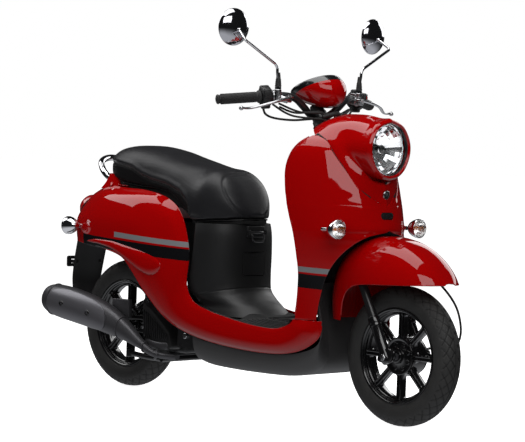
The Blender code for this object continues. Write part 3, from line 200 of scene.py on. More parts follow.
def tyre_rubber(name, centre, lines):
    """Rubber with a tread of crossing curved grooves, measured round the axle; the grooves are darkened as painted
    shade.
    """
    made, tree, shader = new_material(name)
    coords = object_coordinates(tree)
    calc = partial(math_node, tree)
    split = add_node(tree, "ShaderNodeSeparateXYZ")
    tree.links.new(coords, split.inputs[0])
    x = calc("SUBTRACT", split.outputs["X"], centre.x)
    z = calc("SUBTRACT", split.outputs["Z"], centre.z)
    y = split.outputs["Y"]
    turn = calc("MULTIPLY", calc("ARCTAN2", z, x), lines / (2 * pi))
    radius = calc("SQRT", calc("ADD", calc("MULTIPLY", x, x), calc("MULTIPLY", z, z)))
    side = calc("DIVIDE", y, 0.036)
    side_abs = calc("ABSOLUTE", side)
    curve = calc("MULTIPLY", calc("MULTIPLY", side, side_abs), 0.55)
    grooves = None
    for sign, shift, weight in ((1.0, 0.0, 1.0), (-1.0, 0.5, 0.8)):
        lean = calc("MULTIPLY", calc("ADD", side, curve), sign)
        wave = calc("FRACT", calc("ADD", calc("ADD", turn, lean), shift + 20.0))
        off = calc("ABSOLUTE", calc("SUBTRACT", wave, 0.5))
        line = calc("LESS_THAN", off, 0.055 * weight)
        grooves = line if grooves is None else calc("MAXIMUM", grooves, line)
    on_tread = calc("GREATER_THAN", radius, 0.1825)
    off_middle = calc("GREATER_THAN", side_abs, 0.1)
    middle_rib = calc("COMPARE", side_abs, 0.1, 0.035)
    cut = calc("MULTIPLY", calc("MULTIPLY", grooves, off_middle), on_tread)
    cut = calc("MAXIMUM", cut, calc("MULTIPLY", middle_rib, on_tread))
    bead = calc("COMPARE", radius, 0.16, 0.0012)
    shoulder = calc("COMPARE", radius, 0.176, 0.0008)
    rings = calc("MAXIMUM", bead, shoulder)
    dust = noise(tree, coords, 26.0, 5.0)
    base = mix_colour(tree, dust, (0.016, 0.016, 0.016), (0.034, 0.033, 0.032))
    # painted shade: the grooves, already cut in the mesh, are darkened towards near black
    base = mix_colour(tree, calc("MULTIPLY", cut, 0.85), base, (0.004, 0.004, 0.004))
    tree.links.new(base, shader.inputs["Base Color"])
    tree.links.new(calc("MULTIPLY_ADD", dust, 0.25, 0.5), shader.inputs["Roughness"])
    grit = calc("MULTIPLY", noise(tree, coords, 700.0, 2.0), 0.1)
    relief = calc("SUBTRACT", calc("ADD", grit, calc("MULTIPLY", rings, 0.5)), cut)
    add_bump(tree, shader, relief, 0.8, 0.0022)
    return made


SILVER_BAND = (0.19, 0.19, 0.2)
BLACK_BAND = (0.006, 0.006, 0.007)
RED = paint("red_paint")
RED_SIDE = paint(
    "red_paint_side_bands",
    [(SILVER_BAND, 0.052, 0.4855, 0.469, -0.455), (BLACK_BAND, 0.045, 0.465, 0.429, -0.64)],
)
RED_LEG = paint(
    "red_paint_leg_bands",
    [(SILVER_BAND, 0.04, 0.4675, 0.4515, 0.0), (BLACK_BAND, 0.05, 0.45, 0.409, 0.0)],
)
BLACK = finish("black_moulding", (0.0085, 0.0085, 0.009), 0.46, grain=(900.0, 0.0001), mottle=0.2)
BELLY = finish("belly_moulding", (0.036, 0.035, 0.036), 0.5, grain=(800.0, 0.00012), mottle=0.2)
STEEL = finish(
    "black_frame_steel", (0.012, 0.012, 0.013), 0.34, grain=(300.0, 0.00006), mottle=0.2, coat=0.3
)
SATIN = finish(
    "dark_satin_metal", (0.075, 0.074, 0.08), 0.36, metal=0.55, grain=(620.0, 0.00005), mottle=0.15
)
SHIELD = finish(
    "heat_shield_metal", (0.135, 0.133, 0.146), 0.3, metal=0.55, grain=(620.0, 0.00004), mottle=0.1
)
CHROME = finish("chrome", (0.78, 0.78, 0.8), 0.07, metal=1.0, mottle=0.03, rough_swing=0.02)
MIRROR_BACK = finish(
    "mirror_back_chrome", (0.52, 0.52, 0.55), 0.08, metal=1.0, mottle=0.04, rough_swing=0.02
)
ALLOY = finish("cast_silver", (0.56, 0.56, 0.57), 0.27, metal=1.0, grain=(420.0, 0.00006), mottle=0.08)
ENGINE = finish("engine_casting", (0.02, 0.02, 0.021), 0.42, metal=0.3, grain=(520.0, 0.00015), mottle=0.25)
GLOSS = finish(
    "gloss_black_wheel", (0.006, 0.006, 0.0065), 0.2, coat=0.8, grain=(500.0, 0.00003), mottle=0.2
)
RUBBER = finish("black_rubber", (0.014, 0.014, 0.014), 0.62, grain=(1100.0, 0.00012), mottle=0.2)
VINYL = finish(
    "seat_vinyl", (0.011, 0.0109, 0.0126), 0.41, grain=(620.0, 0.00022), mottle=0.14, rough_swing=0.05,
    specular=0.36
)
# painted shade: a darker copy of the seat vinyl for the panels below the seam, standing in for the shade on the
# seat's sides
VINYL_SIDE_PAINTED_SHADE = finish(
    "seat_vinyl_side", (0.003, 0.003, 0.0034), 0.6, grain=(620.0, 0.00022), mottle=0.14, specular=0.12
)
THREAD = finish("seam_thread", (0.01, 0.01, 0.01), 0.6, grain=(1600.0, 0.0002), mottle=0.3)
# near-black finish: the own colour of the dial face, badge inlay, screw and wheel-arch lining, and painted shade
# where it fills the gaps at the cowl's joint, the seat and the sill
BLACK_AND_PAINTED_SHADE = finish("dark_inside", (0.003, 0.003, 0.003), 0.8, grain=(500.0, 0.0001), mottle=0.3)
WHITE_TICKS = finish("dial_white", (0.62, 0.62, 0.6), 0.4, grain=(900.0, 0.00002), mottle=0.05)


def clear(name, colour, ior=1.46, rough=0.02, ribs=None):
    """A clear or tinted lens. ribs cuts fine upright flutes in it."""
    made, tree, shader = new_material(name)
    shader.inputs["Base Color"].default_value = (*colour, 1.0)
    shader.inputs["Transmission Weight"].default_value = 1.0
    shader.inputs["IOR"].default_value = ior
    coords = object_coordinates(tree)
    calc = partial(math_node, tree)
    haze = calc("MULTIPLY_ADD", noise(tree, coords, 120.0, 2.0), 0.03, rough)
    tree.links.new(haze, shader.inputs["Roughness"])
    if ribs:
        wave = add_node(tree, "ShaderNodeTexWave", {"Scale": ribs}, bands_direction="Y")
        tree.links.new(coords, wave.inputs["Vector"])
        add_bump(tree, shader, wave.outputs["Fac"], 0.35, 0.0006)
    return made


GLASS = clear("lamp_glass", (0.97, 0.98, 0.98))
SIGNAL_GLASS = clear("signal_glass", (0.95, 0.95, 0.93), ribs=160.0)
SMOKED = clear("meter_glass", (0.04, 0.04, 0.045), rough=0.03)
RED_LENS = finish("red_lens", (0.35, 0.004, 0.004), 0.12, coat=1.0, grain=(240.0, 0.0002), mottle=0.15)
AMBER = finish("amber_bulb", (0.62, 0.14, 0.012), 0.15, coat=0.8, grain=(200.0, 0.0001), mottle=0.15)


# ---- shapes ------------------------------------------------------------------------------------
def catmull(points, count, closed=False):
    p = np.asarray([tuple(q) for q in points], float)
    n = len(p)
    t = np.linspace(0, n if closed else n - 1, count, endpoint=not closed)
    k = np.minimum(t.astype(int), (n if closed else n - 1) - 1)
    f = (t - k)[:, None]

    def pick(i):
        return p[i % n] if closed else p[np.clip(i, 0, n - 1)]

    a, b, c, d = pick(k - 1), pick(k), pick(k + 1), pick(k + 2)
    return 0.5 * (2 * b + (c - a) * f + (2 * a - 5 * b + 4 * c - d) * f**2 + (3 * b - a - 3 * c + d) * f**3)


def smooth_grid(rows, across, along):
    """A denser grid of points through the given rows."""
    dense = [catmull(row, across) for row in rows]
    columns = [catmull([row[j] for row in dense], along) for j in range(across)]
    return np.array(columns).transpose(1, 0, 2)


def make(name, vertices, faces, material=None, body=None, nodes=(), angle=40):
    mesh = bpy.data.meshes.new(name)
    mesh.from_pydata([tuple(v) for v in vertices], [], faces)
    mesh.update()
    return settle(bpy.data.objects.new(name, mesh), material, body, nodes, angle)


def settle(obj, material=None, body=None, nodes=(), angle=40):
    """Links and shades a piece, and puts it on its body in place of CAD nodes. Without a body, for merge."""
    if not obj.users_collection:
        bpy.context.scene.collection.objects.link(obj)
    if obj.type == "MESH":
        obj.data.shade_smooth()
        obj.data.set_sharp_from_angle(angle=radians(angle))
    if body is None:
        return obj
    obj.data.materials.clear()
    obj.data.materials.append(material)
    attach(obj, body)
    if nodes:
        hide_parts(*([nodes] if isinstance(nodes, str) else nodes))
    return obj


def grid_faces(rows, columns, ring=False, loop=False):
    faces = []
    for i in range(rows if loop else rows - 1):
        for j in range(columns if ring else columns - 1):
            a, b = i * columns + j, i * columns + (j + 1) % columns
            c, d = ((i + 1) % rows) * columns + (j + 1) % columns, ((i + 1) % rows) * columns + j
            faces.append((a, b, c, d))
    return faces


def tidy(obj, merge=1e-5):
    bm = bmesh.new()
    bm.from_mesh(obj.data)
    bmesh.ops.remove_doubles(bm, verts=bm.verts, dist=merge)
    bmesh.ops.recalc_face_normals(bm, faces=bm.faces)
    bm.to_mesh(obj.data)
    bm.free()
    return obj


def soften(obj, width, segments=2, angle=35):
    bevel = obj.modifiers.new("soft_edges", "BEVEL")
    bevel.width = width
    bevel.segments = segments
    bevel.limit_method = "ANGLE"
    bevel.angle_limit = radians(angle)
    return obj


def panel(
    name, grid, material, body, nodes=(), inside=(0.0, 0.0, 0.4), thickness=0.0025, mirrored=True,
    edge=0.0009
):
    """A moulded panel: a grid of points made a wall that grows towards a point inside."""
    rows, columns = grid.shape[:2]
    obj = make(name, grid.reshape(-1, 3), grid_faces(rows, columns), None, None, (), 50)
    tidy(obj, 2e-5)
    lean = sum(f.area * f.normal.dot(f.center - V(inside)) for f in obj.data.polygons)
    if lean < 0:
        obj.data.flip_normals()
    if mirrored:
        mirror = obj.modifiers.new("both_sides", "MIRROR")
        mirror.use_axis = (False, True, False)
        mirror.merge_threshold = 0.0001
    wall = obj.modifiers.new("wall", "SOLIDIFY")
    wall.thickness = thickness
    wall.offset = -1
    if edge:
        soften(obj, edge, 2, 60)
    if body is None:
        return obj
    return settle(obj, material, body, nodes, 50)


def aim(centre, axis):
    z = V(axis).normalized()
    x = V(ACROSS).cross(z)
    if x.length < 1e-6:
        x = V(FORWARD)
    x.normalize()
    y = z.cross(x)
    return Matrix.Translation(V(centre)) @ Matrix((x, y, z)).transposed().to_4x4()


def turned(
    name, profile, centre, axis, material=None, body=None, nodes=(), sides=64, loop=False, angle=35,
    soft=0.0
):
    """A (radius, height) profile turned about an axis. It closes on the axis, or as a loop on itself."""
    profile = np.array(profile, float)
    if not loop:
        for row, first in ((0, True), (-1, False)):
            if profile[row, 0] > 0:
                foot = [[0.0, profile[row, 1]]]
                profile = np.concatenate([foot, profile] if first else [profile, foot])
    turns = np.linspace(0, 2 * pi, sides, endpoint=False)
    ring = np.stack([np.cos(turns), np.sin(turns)], axis=1)
    points = np.zeros((len(profile), sides, 3))
    points[:, :, 0] = profile[:, None, 0] * ring[None, :, 0]
    points[:, :, 1] = profile[:, None, 0] * ring[None, :, 1]
    points[:, :, 2] = profile[:, None, 1]
    turn = aim(centre, axis)
    flat = [turn @ V(p) for p in points.reshape(-1, 3)]
    obj = make(name, flat, grid_faces(len(profile), sides, True, loop), material, body, nodes, angle)
    tidy(obj)
    obj.data.set_sharp_from_angle(angle=radians(angle))
    if soft:
        soften(obj, soft)
    return obj


def tube(
    name, points, radius, material=None, body=None, nodes=(), sides=16, count=None, flatten=None, caps=True
):
    """A bar along a path. radius is one number, or one for each point; flatten squeezes it one way."""
    given = np.asarray([tuple(p) for p in points], float)
    radii = np.full(len(given), radius) if np.isscalar(radius) else np.asarray(radius, float)
    if count:
        packed = catmull(np.concatenate([given, radii[:, None]], axis=1), count)
        path, radii = packed[:, :3], packed[:, 3]
    else:
        path = given
    tangents = np.gradient(path, axis=0)
    tangents /= np.linalg.norm(tangents, axis=1)[:, None]
    side = np.cross(tangents[0], (0.0, 0.0, 1.0))
    if np.linalg.norm(side) < 1e-3:
        side = np.cross(tangents[0], (0.0, 1.0, 0.0))
    rings = []
    for p, t, r in zip(path, tangents, radii):
        side = side - t * np.dot(side, t)
        side /= np.linalg.norm(side)
        other = np.cross(t, side)
        a = np.linspace(0, 2 * pi, sides, endpoint=False)
        offset = np.outer(np.cos(a), side) + np.outer(np.sin(a), other)
        if flatten:
            axis = np.array(flatten[0], float)
            axis /= np.linalg.norm(axis)
            offset -= np.outer(offset @ axis, axis) * (1 - flatten[1])
        rings.append(p + offset * r)
    faces = grid_faces(len(rings), sides, True)
    if caps:
        faces.append(tuple(range(sides))[::-1])
        faces.append(tuple(range((len(rings) - 1) * sides, len(rings) * sides)))
    obj = make(name, np.array(rings).reshape(-1, 3), faces, material, body, nodes)
    return tidy(obj)


def loft(name, rings, material=None, body=None, nodes=(), count=None, angle=40, caps=True):
    """A closed body through rings of points, smoothed along its length."""
    rings = np.array(rings, float)
    if count:
        rings = np.array([catmull(rings[:, j], count) for j in range(rings.shape[1])]).transpose(1, 0, 2)
    n = rings.shape[1]
    faces = grid_faces(len(rings), n, True)
    if caps:
        faces.append(tuple(range(n))[::-1])
        faces.append(tuple(range((len(rings) - 1) * n, len(rings) * n)))
    obj = make(name, rings.reshape(-1, 3), faces, material, body, nodes, angle)
    return tidy(obj)


def block(
    name, low, high, material=None, body=None, nodes=(), soft=0.002, turn=None, taper=1.0, segments=3
):
    """A box with rounded edges. taper narrows its top."""
    low, high = V(low), V(high)
    bm = bmesh.new()
    bmesh.ops.create_cube(bm, size=1.0)
    for v in bm.verts:
        share = taper if v.co.z > 0 else 1.0
        v.co = V((v.co.x * share, v.co.y * share, v.co.z))
        v.co = V(a * b for a, b in zip(v.co, high - low))
    mesh = bpy.data.meshes.new(name)
    bm.to_mesh(mesh)
    bm.free()
    mesh.transform(turn if turn else Matrix.Identity(4))
    if not turn:
        mesh.transform(Matrix.Translation((low + high) / 2))
    obj = settle(bpy.data.objects.new(name, mesh), material, body, nodes, 35)
    return soften(obj, soft, segments, 30)


def plate(name, outline, thickness, turn, material=None, body=None, nodes=(), soft=0.001, holes=()):
    """A flat shape with holes, given by outlines, with rounded edges; turn places it."""
    curve = bpy.data.curves.new(name, "CURVE")
    curve.dimensions = "2D"
    curve.fill_mode = "BOTH"
    curve.extrude = thickness / 2 - soft
    curve.bevel_depth = soft
    curve.bevel_resolution = 1
    curve.offset = -soft
    for ring in [outline, *holes]:
        spline = curve.splines.new("POLY")
        spline.points.add(len(ring) - 1)
        spline.use_cyclic_u = True
        for point, at in zip(spline.points, ring):
            point.co = (at[0], at[1], 0.0, 1.0)
    guide = bpy.data.objects.new(name + "_outline", curve)
    bpy.context.scene.collection.objects.link(guide)
    bpy.context.view_layer.update()
    mesh = bpy.data.meshes.new_from_object(guide.evaluated_get(bpy.context.evaluated_depsgraph_get()))
    bpy.data.objects.remove(guide)
    mesh.name = name
    mesh.transform(turn)
    obj = settle(bpy.data.objects.new(name, mesh), material, body, nodes, 35)
    return tidy(obj)


def rounded(width, height, radius, per_corner=5):
    """A rectangle outline with round corners."""
    points = []
    for i, (sx, sy) in enumerate(((1, 1), (-1, 1), (-1, -1), (1, -1))):
        for k in range(per_corner + 1):
            a = pi / 2 * (i + k / per_corner)
            points.append(
                (sx * (width / 2 - radius) + radius * cos(a), sy * (height / 2 - radius) + radius * sin(a))
            )
    return points


def smooth_outline(points, count):
    """A closed flat outline through a few points."""
    return [tuple(p) for p in catmull(points, count, True)]


def forward_facing(at):
    """Places a flat outline upright across the object, seen from the front."""
    return Matrix.Translation(at) @ Matrix.Rotation(pi / 2, 4, "Y") @ Matrix.Rotation(pi / 2, 4, "Z")


def side_facing(at):
    """Places a flat outline upright along the object, seen from the side."""
    return Matrix.Translation(at) @ Matrix.Rotation(pi / 2, 4, "X")


def mirror_y(point, side):
    return V((point[0], point[1] * side, point[2]))


def fork_point(along, ahead=0.0, side=0.0):
    return STEER_FOOT + UP * along + AHEAD * ahead + V((0, side, 0))


def dress(node, material):
    """Gives a CAD node that stays a procedural finish."""
    mesh = frame["nodes"][node].data
    mesh.materials.clear()
    mesh.materials.append(material)
    mesh.shade_smooth()
    mesh.set_sharp_from_angle(angle=radians(35))


def merge(name, pieces, material, body, nodes=(), angle=35):
    """One piece out of several finished shapes that are fixed to each other."""
    bpy.context.view_layer.update()
    graph = bpy.context.evaluated_depsgraph_get()
    bm = bmesh.new()
    for piece in pieces:
        mesh = bpy.data.meshes.new_from_object(piece.evaluated_get(graph))
        bm.from_mesh(mesh)
        bpy.data.meshes.remove(mesh)
    mesh = bpy.data.meshes.new(name)
    bm.to_mesh(mesh)
    bm.free()
    for piece in pieces:
        bpy.data.objects.remove(piece)
    return settle(bpy.data.objects.new(name, mesh), material, body, nodes, angle)


def cut(obj, tools):
    """Cuts the tools out of a piece, and uses them up."""
    for tool in tools:
        modifier = obj.modifiers.new("cut", "BOOLEAN")
        modifier.operation = "DIFFERENCE"
        modifier.object = tool
        modifier.solver = "EXACT"
    bpy.context.view_layer.update()
    mesh = bpy.data.meshes.new_from_object(obj.evaluated_get(bpy.context.evaluated_depsgraph_get()))
    obj.modifiers.clear()
    obj.data = mesh
    for tool in tools:
        bpy.data.objects.remove(tool)
    return obj


# ---- wheels ------------------------------------------------------------------------------------
TREAD_LINES = 34
TREAD_HALF = 0.036


def tyre(prefix, centre, body):
    """The tread's grooves are cut in the mesh, and the finish darkens them along the same lines as painted shade
    in the grooves.
    """
    crown = TYRE_RADIUS
    half = [(crown, 0.0), (crown - 0.0008, 0.009), (crown - 0.0036, 0.018), (crown - 0.0092, 0.0265)]
    half += [(crown - 0.0175, 0.0338), (crown - 0.027, 0.0385), (crown - 0.037, 0.0402), (0.1585, 0.0388)]
    half += [(0.149, 0.0356), (0.1432, 0.0325), (0.1413, 0.0302)]
    line = catmull([(r, h, 0) for r, h in half], 40)[:, :2]
    radius = line[:, 0] + 0.0007 * np.exp(-(((line[:, 0] - 0.16) / 0.0011) ** 2))
    radius += 0.0006 * np.exp(-(((line[:, 0] - 0.176) / 0.0009) ** 2))
    line[:, 0] = radius
    right = line[::-1] * [1, -1]
    inside = [(0.133, 0.028), (0.133, -0.028)]
    profile = np.concatenate([right[:-1], line, inside])
    around = 720
    turns = np.linspace(0, 2 * pi, around, endpoint=False)
    side = profile[:, 1] / TREAD_HALF
    lean = side + side * abs(side) * 0.55
    count = turns * TREAD_LINES / (2 * pi)
    depth = np.zeros((len(profile), around))
    for sign, shift, weight in ((1.0, 0.0, 1.0), (-1.0, 0.5, 0.8)):
        off = abs((count[None, :] + sign * lean[:, None] + shift + 20.0) % 1.0 - 0.5)
        depth = np.maximum(depth, np.clip((0.075 * weight - off) / 0.035, 0, 1))
    depth *= (abs(side) > 0.1)[:, None]
    depth = np.maximum(depth, np.clip((0.045 - abs(abs(side) - 0.1)) / 0.02, 0, 1)[:, None])
    depth *= np.clip((profile[:, 0] - 0.18) / 0.003, 0, 1)[:, None]
    bulge = np.clip(abs(profile[:, 1]) / 0.041, 0, 1) ** 2
    radii = profile[:, 0][:, None] - depth * 0.0026 * np.sqrt(1 - 0.8 * bulge)[:, None]
    heights = profile[:, 1][:, None] - depth * 0.002 * (np.sign(profile[:, 1]) * bulge)[:, None]
    points = np.stack([radii * np.cos(turns), heights, radii * np.sin(turns)], axis=2)
    points += np.array(tuple(centre))
    faces = grid_faces(len(profile), around, True, True)
    obj = make(prefix + "_tyre_tread", points.reshape(-1, 3), faces, None, None, (), 80)
    tidy(obj)
    return settle(
        obj, tyre_rubber(prefix + "_tyre_rubber", centre, TREAD_LINES), body, prefix + "_tyre", 80
    )


def window(turn):
    """One gap between two spokes: straight sides, a round end near the hub, and small corners at the rim."""
    half, spoke, end, outer = pi / 8, 0.009, 0.02, 0.1215
    middle = (end + spoke) / sin(half)
    tangent = middle * cos(half)
    points = []
    for k in range(13):
        a = pi - (pi / 2 - half) + (pi - 2 * half) * k / 12
        points.append((middle + end * cos(a), end * sin(a)))
    corner = 0.0065
    reach = sqrt(outer**2 - (spoke + corner) ** 2)
    low = []
    for sign in (-1, 1):
        across = []
        for k in range(5):
            t = k / 4
            r = outer - corner * (1 - sin(t * pi / 2))
            inset = spoke + corner * (1 - cos(t * pi / 2))
            a = half - asin(inset / r)
            across.append((r * cos(a), sign * r * sin(a)))
        low.append(across)
    arc = [(outer * cos(a), outer * sin(a)) for a in np.linspace(-0.23, 0.23, 9)]
    ring = points + low[0] + arc + low[1][::-1]
    c, s = cos(turn), sin(turn)
    return [(x * c - y * s, x * s + y * c) for x, y in ring]


def wheel(prefix, centre, body):
    tyre(prefix, centre, body)
    outer = [
        (0.1392, 0.0336), (0.1404, 0.0328), (0.1404, 0.0302), (0.134, 0.0284), (0.1312, 0.018),
        (0.1312, 0.0)
    ]
    inner = [
        (0.1255, 0.0), (0.1258, 0.012), (0.1266, 0.015), (0.129, 0.017), (0.1293, 0.0235), (0.13, 0.025)
    ]
    inner += [(0.1325, 0.0262), (0.133, 0.0296), (0.134, 0.031), (0.1366, 0.0334)]
    half = inner + outer
    profile = half[:15]
    mirrored = [(r, -h) for r, h in profile]
    ring = mirrored[::-1][:-1] + profile
    barrel = turned(prefix + "_barrel", ring, centre, ACROSS, sides=144, loop=True, soft=0.0005)
    circle = [(0.1275 * cos(a), 0.1275 * sin(a)) for a in np.linspace(0, 2 * pi, 96, endpoint=False)]
    holes = [window(pi / 8 + i * pi / 4) for i in range(8)]
    turn = side_facing(centre + V((0, -0.0045, 0)))
    web = plate(prefix + "_web", circle, 0.019, turn, soft=0.0028, holes=holes)
    parts = [barrel, web]
    for i in range(8):
        a = i * pi / 4
        for y, face in ((-0.015, -1), (0.006, 1)):
            for off in (-0.0052, 0.0052):
                path = []
                for r, lift in (
                    (0.05, -0.001), (0.06, 0.0016), (0.095, 0.0016), (0.118, 0.002), (0.1265, 0.006)
                ):
                    x, z = r * cos(a) - off * sin(a), r * sin(a) + off * cos(a)
                    path.append(centre + V((x, y + face * (lift - 0.001), z)))
                parts.append(tube("ridge", path, 0.0027, sides=8, count=9))
    disc = [(0.0072, -0.035), (0.015, -0.035), (0.0185, -0.0335), (0.02, -0.03), (0.0215, -0.0235)]
    disc += [(0.026, -0.0205), (0.046, -0.0195), (0.049, -0.0215), (0.052, -0.0225), (0.0545, -0.0215)]
    disc += [(0.0555, -0.015), (0.0585, 0.005), (0.06, 0.03), (0.059, 0.035), (0.0072, 0.0352)]
    parts.append(turned(prefix + "_hub", disc, centre, ACROSS, sides=96, loop=True, soft=0.0006))
    for i in range(8):
        a = (i + 0.5) * pi / 4
        at = centre + V((0.0365 * cos(a), -0.0195, 0.0365 * sin(a)))
        parts.append(
            turned(
                "recess",
                [(0.005, -0.001), (0.005, 0.0014), (0.0066, 0.0018), (0.0078, 0.0008), (0.0078, -0.001)],
                at, (0, -1, 0), sides=20, loop=True
            )
        )
    valve = centre + V((0.118, -0.002, 0.036))
    parts.append(
        tube(
            "valve", [valve, valve + V((-0.012, -0.008, -0.004)), valve + V((-0.02, -0.016, -0.006))],
            0.0036, sides=12, count=6
        )
    )
    merge(prefix + "_wheel_casting", parts, GLOSS, body, prefix + "_rim")
    cap = [(0.0085, 0.0014), (0.011, 0.0002), (0.011, -0.003)]
    turned(prefix + "_hub_seal", cap, centre + V((0, -0.0352, 0)), (0, -1, 0), SATIN, body, sides=40)


# ---- fork --------------------------------------------------------------------------------------
def fork():
    sliders = []
    for side in (-1, 1):
        foot = fork_point(AXLE_ALONG - 0.02, FORK_OFFSET, side * FORK_HALF)
        profile = [(0.0125, 0.0), (0.016, 0.004), (0.0172, 0.014), (0.0172, 0.03), (0.0158, 0.038)]
        profile += [
            (0.016, 0.118), (0.0172, 0.122), (0.018, 0.126), (0.018, 0.14), (0.017, 0.1435), (0.014, 0.145)
        ]
        sliders.append(turned("slider", profile, foot, UP, sides=48, soft=0.0005))
        lug = [
            (-0.026, -0.012), (0.012, -0.016), (0.026, -0.008), (0.03, 0.012), (0.012, 0.024),
            (-0.014, 0.02)
        ]
        centre = V((FRONT_AXLE.x, side * FORK_HALF, FRONT_AXLE.z))
        turn = side_facing(centre)
        sliders.append(plate("lug", smooth_outline(lug, 36), 0.02, turn, soft=0.003))
        bridge = fork_point(AXLE_ALONG + 0.1, FORK_OFFSET, side * FORK_HALF)
        sliders.append(
            turned(
                "clip", [(0.0158, -0.004), (0.0185, -0.003), (0.0185, 0.003), (0.0158, 0.004)], bridge, UP,
                sides=32, loop=True
            )
        )
    merge("fork_legs", sliders, GLOSS, "fork_lower", "fork_sliders")
    drum = [
        (0.0535, 0.0), (0.055, 0.0018), (0.055, 0.006), (0.05, 0.009), (0.03, 0.0115), (0.02, 0.013),
        (0.0, 0.0135)
    ]
    plate_piece = turned(
        "drum_plate", drum, V((FRONT_AXLE.x, 0.0395, FRONT_AXLE.z)), ACROSS, sides=72, soft=0.0006
    )
    arm_path = [
        V((FRONT_AXLE.x - 0.018, 0.056, FRONT_AXLE.z + 0.018)),
        V((FRONT_AXLE.x + 0.02, 0.06, FRONT_AXLE.z + 0.012)),
        V((FRONT_AXLE.x + 0.056, 0.061, FRONT_AXLE.z + 0.001))
    ]
    arm = tube("brake_arm", arm_path, [0.008, 0.006, 0.005], sides=14, count=10, flatten=(ACROSS, 0.5))
    cam = turned("cam", [(0.009, -0.004), (0.009, 0.004), (0.0, 0.006)], arm_path[0], ACROSS, sides=24)
    merge("front_drum_brake", [plate_piece, arm, cam], ENGINE, "fork_lower")
    ends = []
    for side in (-1, 1):
        at = V((FRONT_AXLE.x, side * 0.0842, FRONT_AXLE.z))
        ends.append(
            turned("washer", [(0.0112, 0.0), (0.0112, 0.0016), (0.0, 0.0018)], at, (0, side, 0), sides=32)
        )
        ends.append(
            turned(
                "nut", [(0.0096, 0.0015), (0.0096, 0.0075), (0.0084, 0.0085), (0.0, 0.0088)], at,
                (0, side, 0), sides=6, angle=20
            )
        )
        ends.append(
            turned("stub", [(0.0052, 0.008), (0.0052, 0.01), (0.0, 0.0106)], at, (0, side, 0), sides=20)
        )
    ends.append(turned("spindle", [(0.0068, -0.084), (0.0068, 0.084)], FRONT_AXLE, ACROSS, sides=24))
    merge("front_axle_nuts", ends, ALLOY, "fork_lower")
    upper = []
    for side in (-1, 1):
        low = fork_point(AXLE_ALONG + 0.092, FORK_OFFSET, side * FORK_HALF)
        high = fork_point(CROWN_ALONG, FORK_OFFSET, side * FORK_HALF)
        length = (high - low).length
        upper.append(turned("stanchion", [(0.0131, 0.0), (0.0131, length)], low, UP, sides=40))
        upper.append(
            turned(
                "collar",
                [
                    (0.0131, length - 0.05), (0.0165, length - 0.048), (0.0165, length - 0.014),
                    (0.0131, length - 0.012)
                ],
                low, UP, sides=40, loop=True
            )
        )
        upper.append(
            turned(
                "clamp", [(0.019, -0.0135), (0.02, -0.012), (0.02, 0.012), (0.019, 0.0135)], high, UP,
                sides=40
            )
        )
    bridge = [
        fork_point(CROWN_ALONG, FORK_OFFSET, -FORK_HALF), fork_point(CROWN_ALONG, 0.0, -0.03),
        fork_point(CROWN_ALONG, 0.0, 0.03), fork_point(CROWN_ALONG, FORK_OFFSET, FORK_HALF)
    ]
    upper.append(
        tube("crown", bridge, [0.015, 0.021, 0.021, 0.015], sides=20, count=24, flatten=(UP, 0.58))
    )
    upper.append(turned("stem", [(0.0145, 0.0), (0.0145, 0.48)], fork_point(CROWN_ALONG), UP, sides=32))
    merge("fork_crown", upper, STEEL, "steering", "steering_stem")


FENDER_STATIONS = [  # ridge x, z; lower edge x, z; half width
    (0.371, 0.298, 0.44, 0.298, 0.084),
    (0.366, 0.36, 0.452, 0.35, 0.092),
    (0.378, 0.43, 0.475, 0.385, 0.101),
    (0.408, 0.488, 0.505, 0.402, 0.109),
    (0.455, 0.526, 0.54, 0.41, 0.114),
    (0.515, 0.546, 0.59, 0.414, 0.116),
    (0.58, 0.55, 0.64, 0.416, 0.113),
    (0.645, 0.538, 0.69, 0.418, 0.104),
    (0.7, 0.512, 0.735, 0.42, 0.088),
    (0.745, 0.477, 0.766, 0.421, 0.064),
    (0.787, 0.428, 0.789, 0.422, 0.022),
]


def front_fender():
    stations = catmull(FENDER_STATIONS, 90)
    t = np.linspace(0, pi / 2, 34)
    out = np.sin(t) ** 0.72
    down = 1 - np.cos(t) ** 1.15
    grid = np.zeros((len(stations), len(t), 3))
    for i, (rx, rz, ex, ez, half) in enumerate(stations):
        grid[i, :, 0] = rx + (ex - rx) * down
        grid[i, :, 1] = -half * out
        grid[i, :, 2] = rz + (ez - rz) * down
    panel("fender_shell", grid, RED, "steering", "front_fender", (0.62, 0, 0.35), 0.0026)
    for side, word in SIDES:
        lip = [V((p[0], side * (abs(p[1]) - 0.0024), p[2] + 0.0014)) for p in grid[3:-3:3, -1]]
        tube("fender_lip_" + word, lip, 0.0022, RED, "steering", sides=10, count=90)


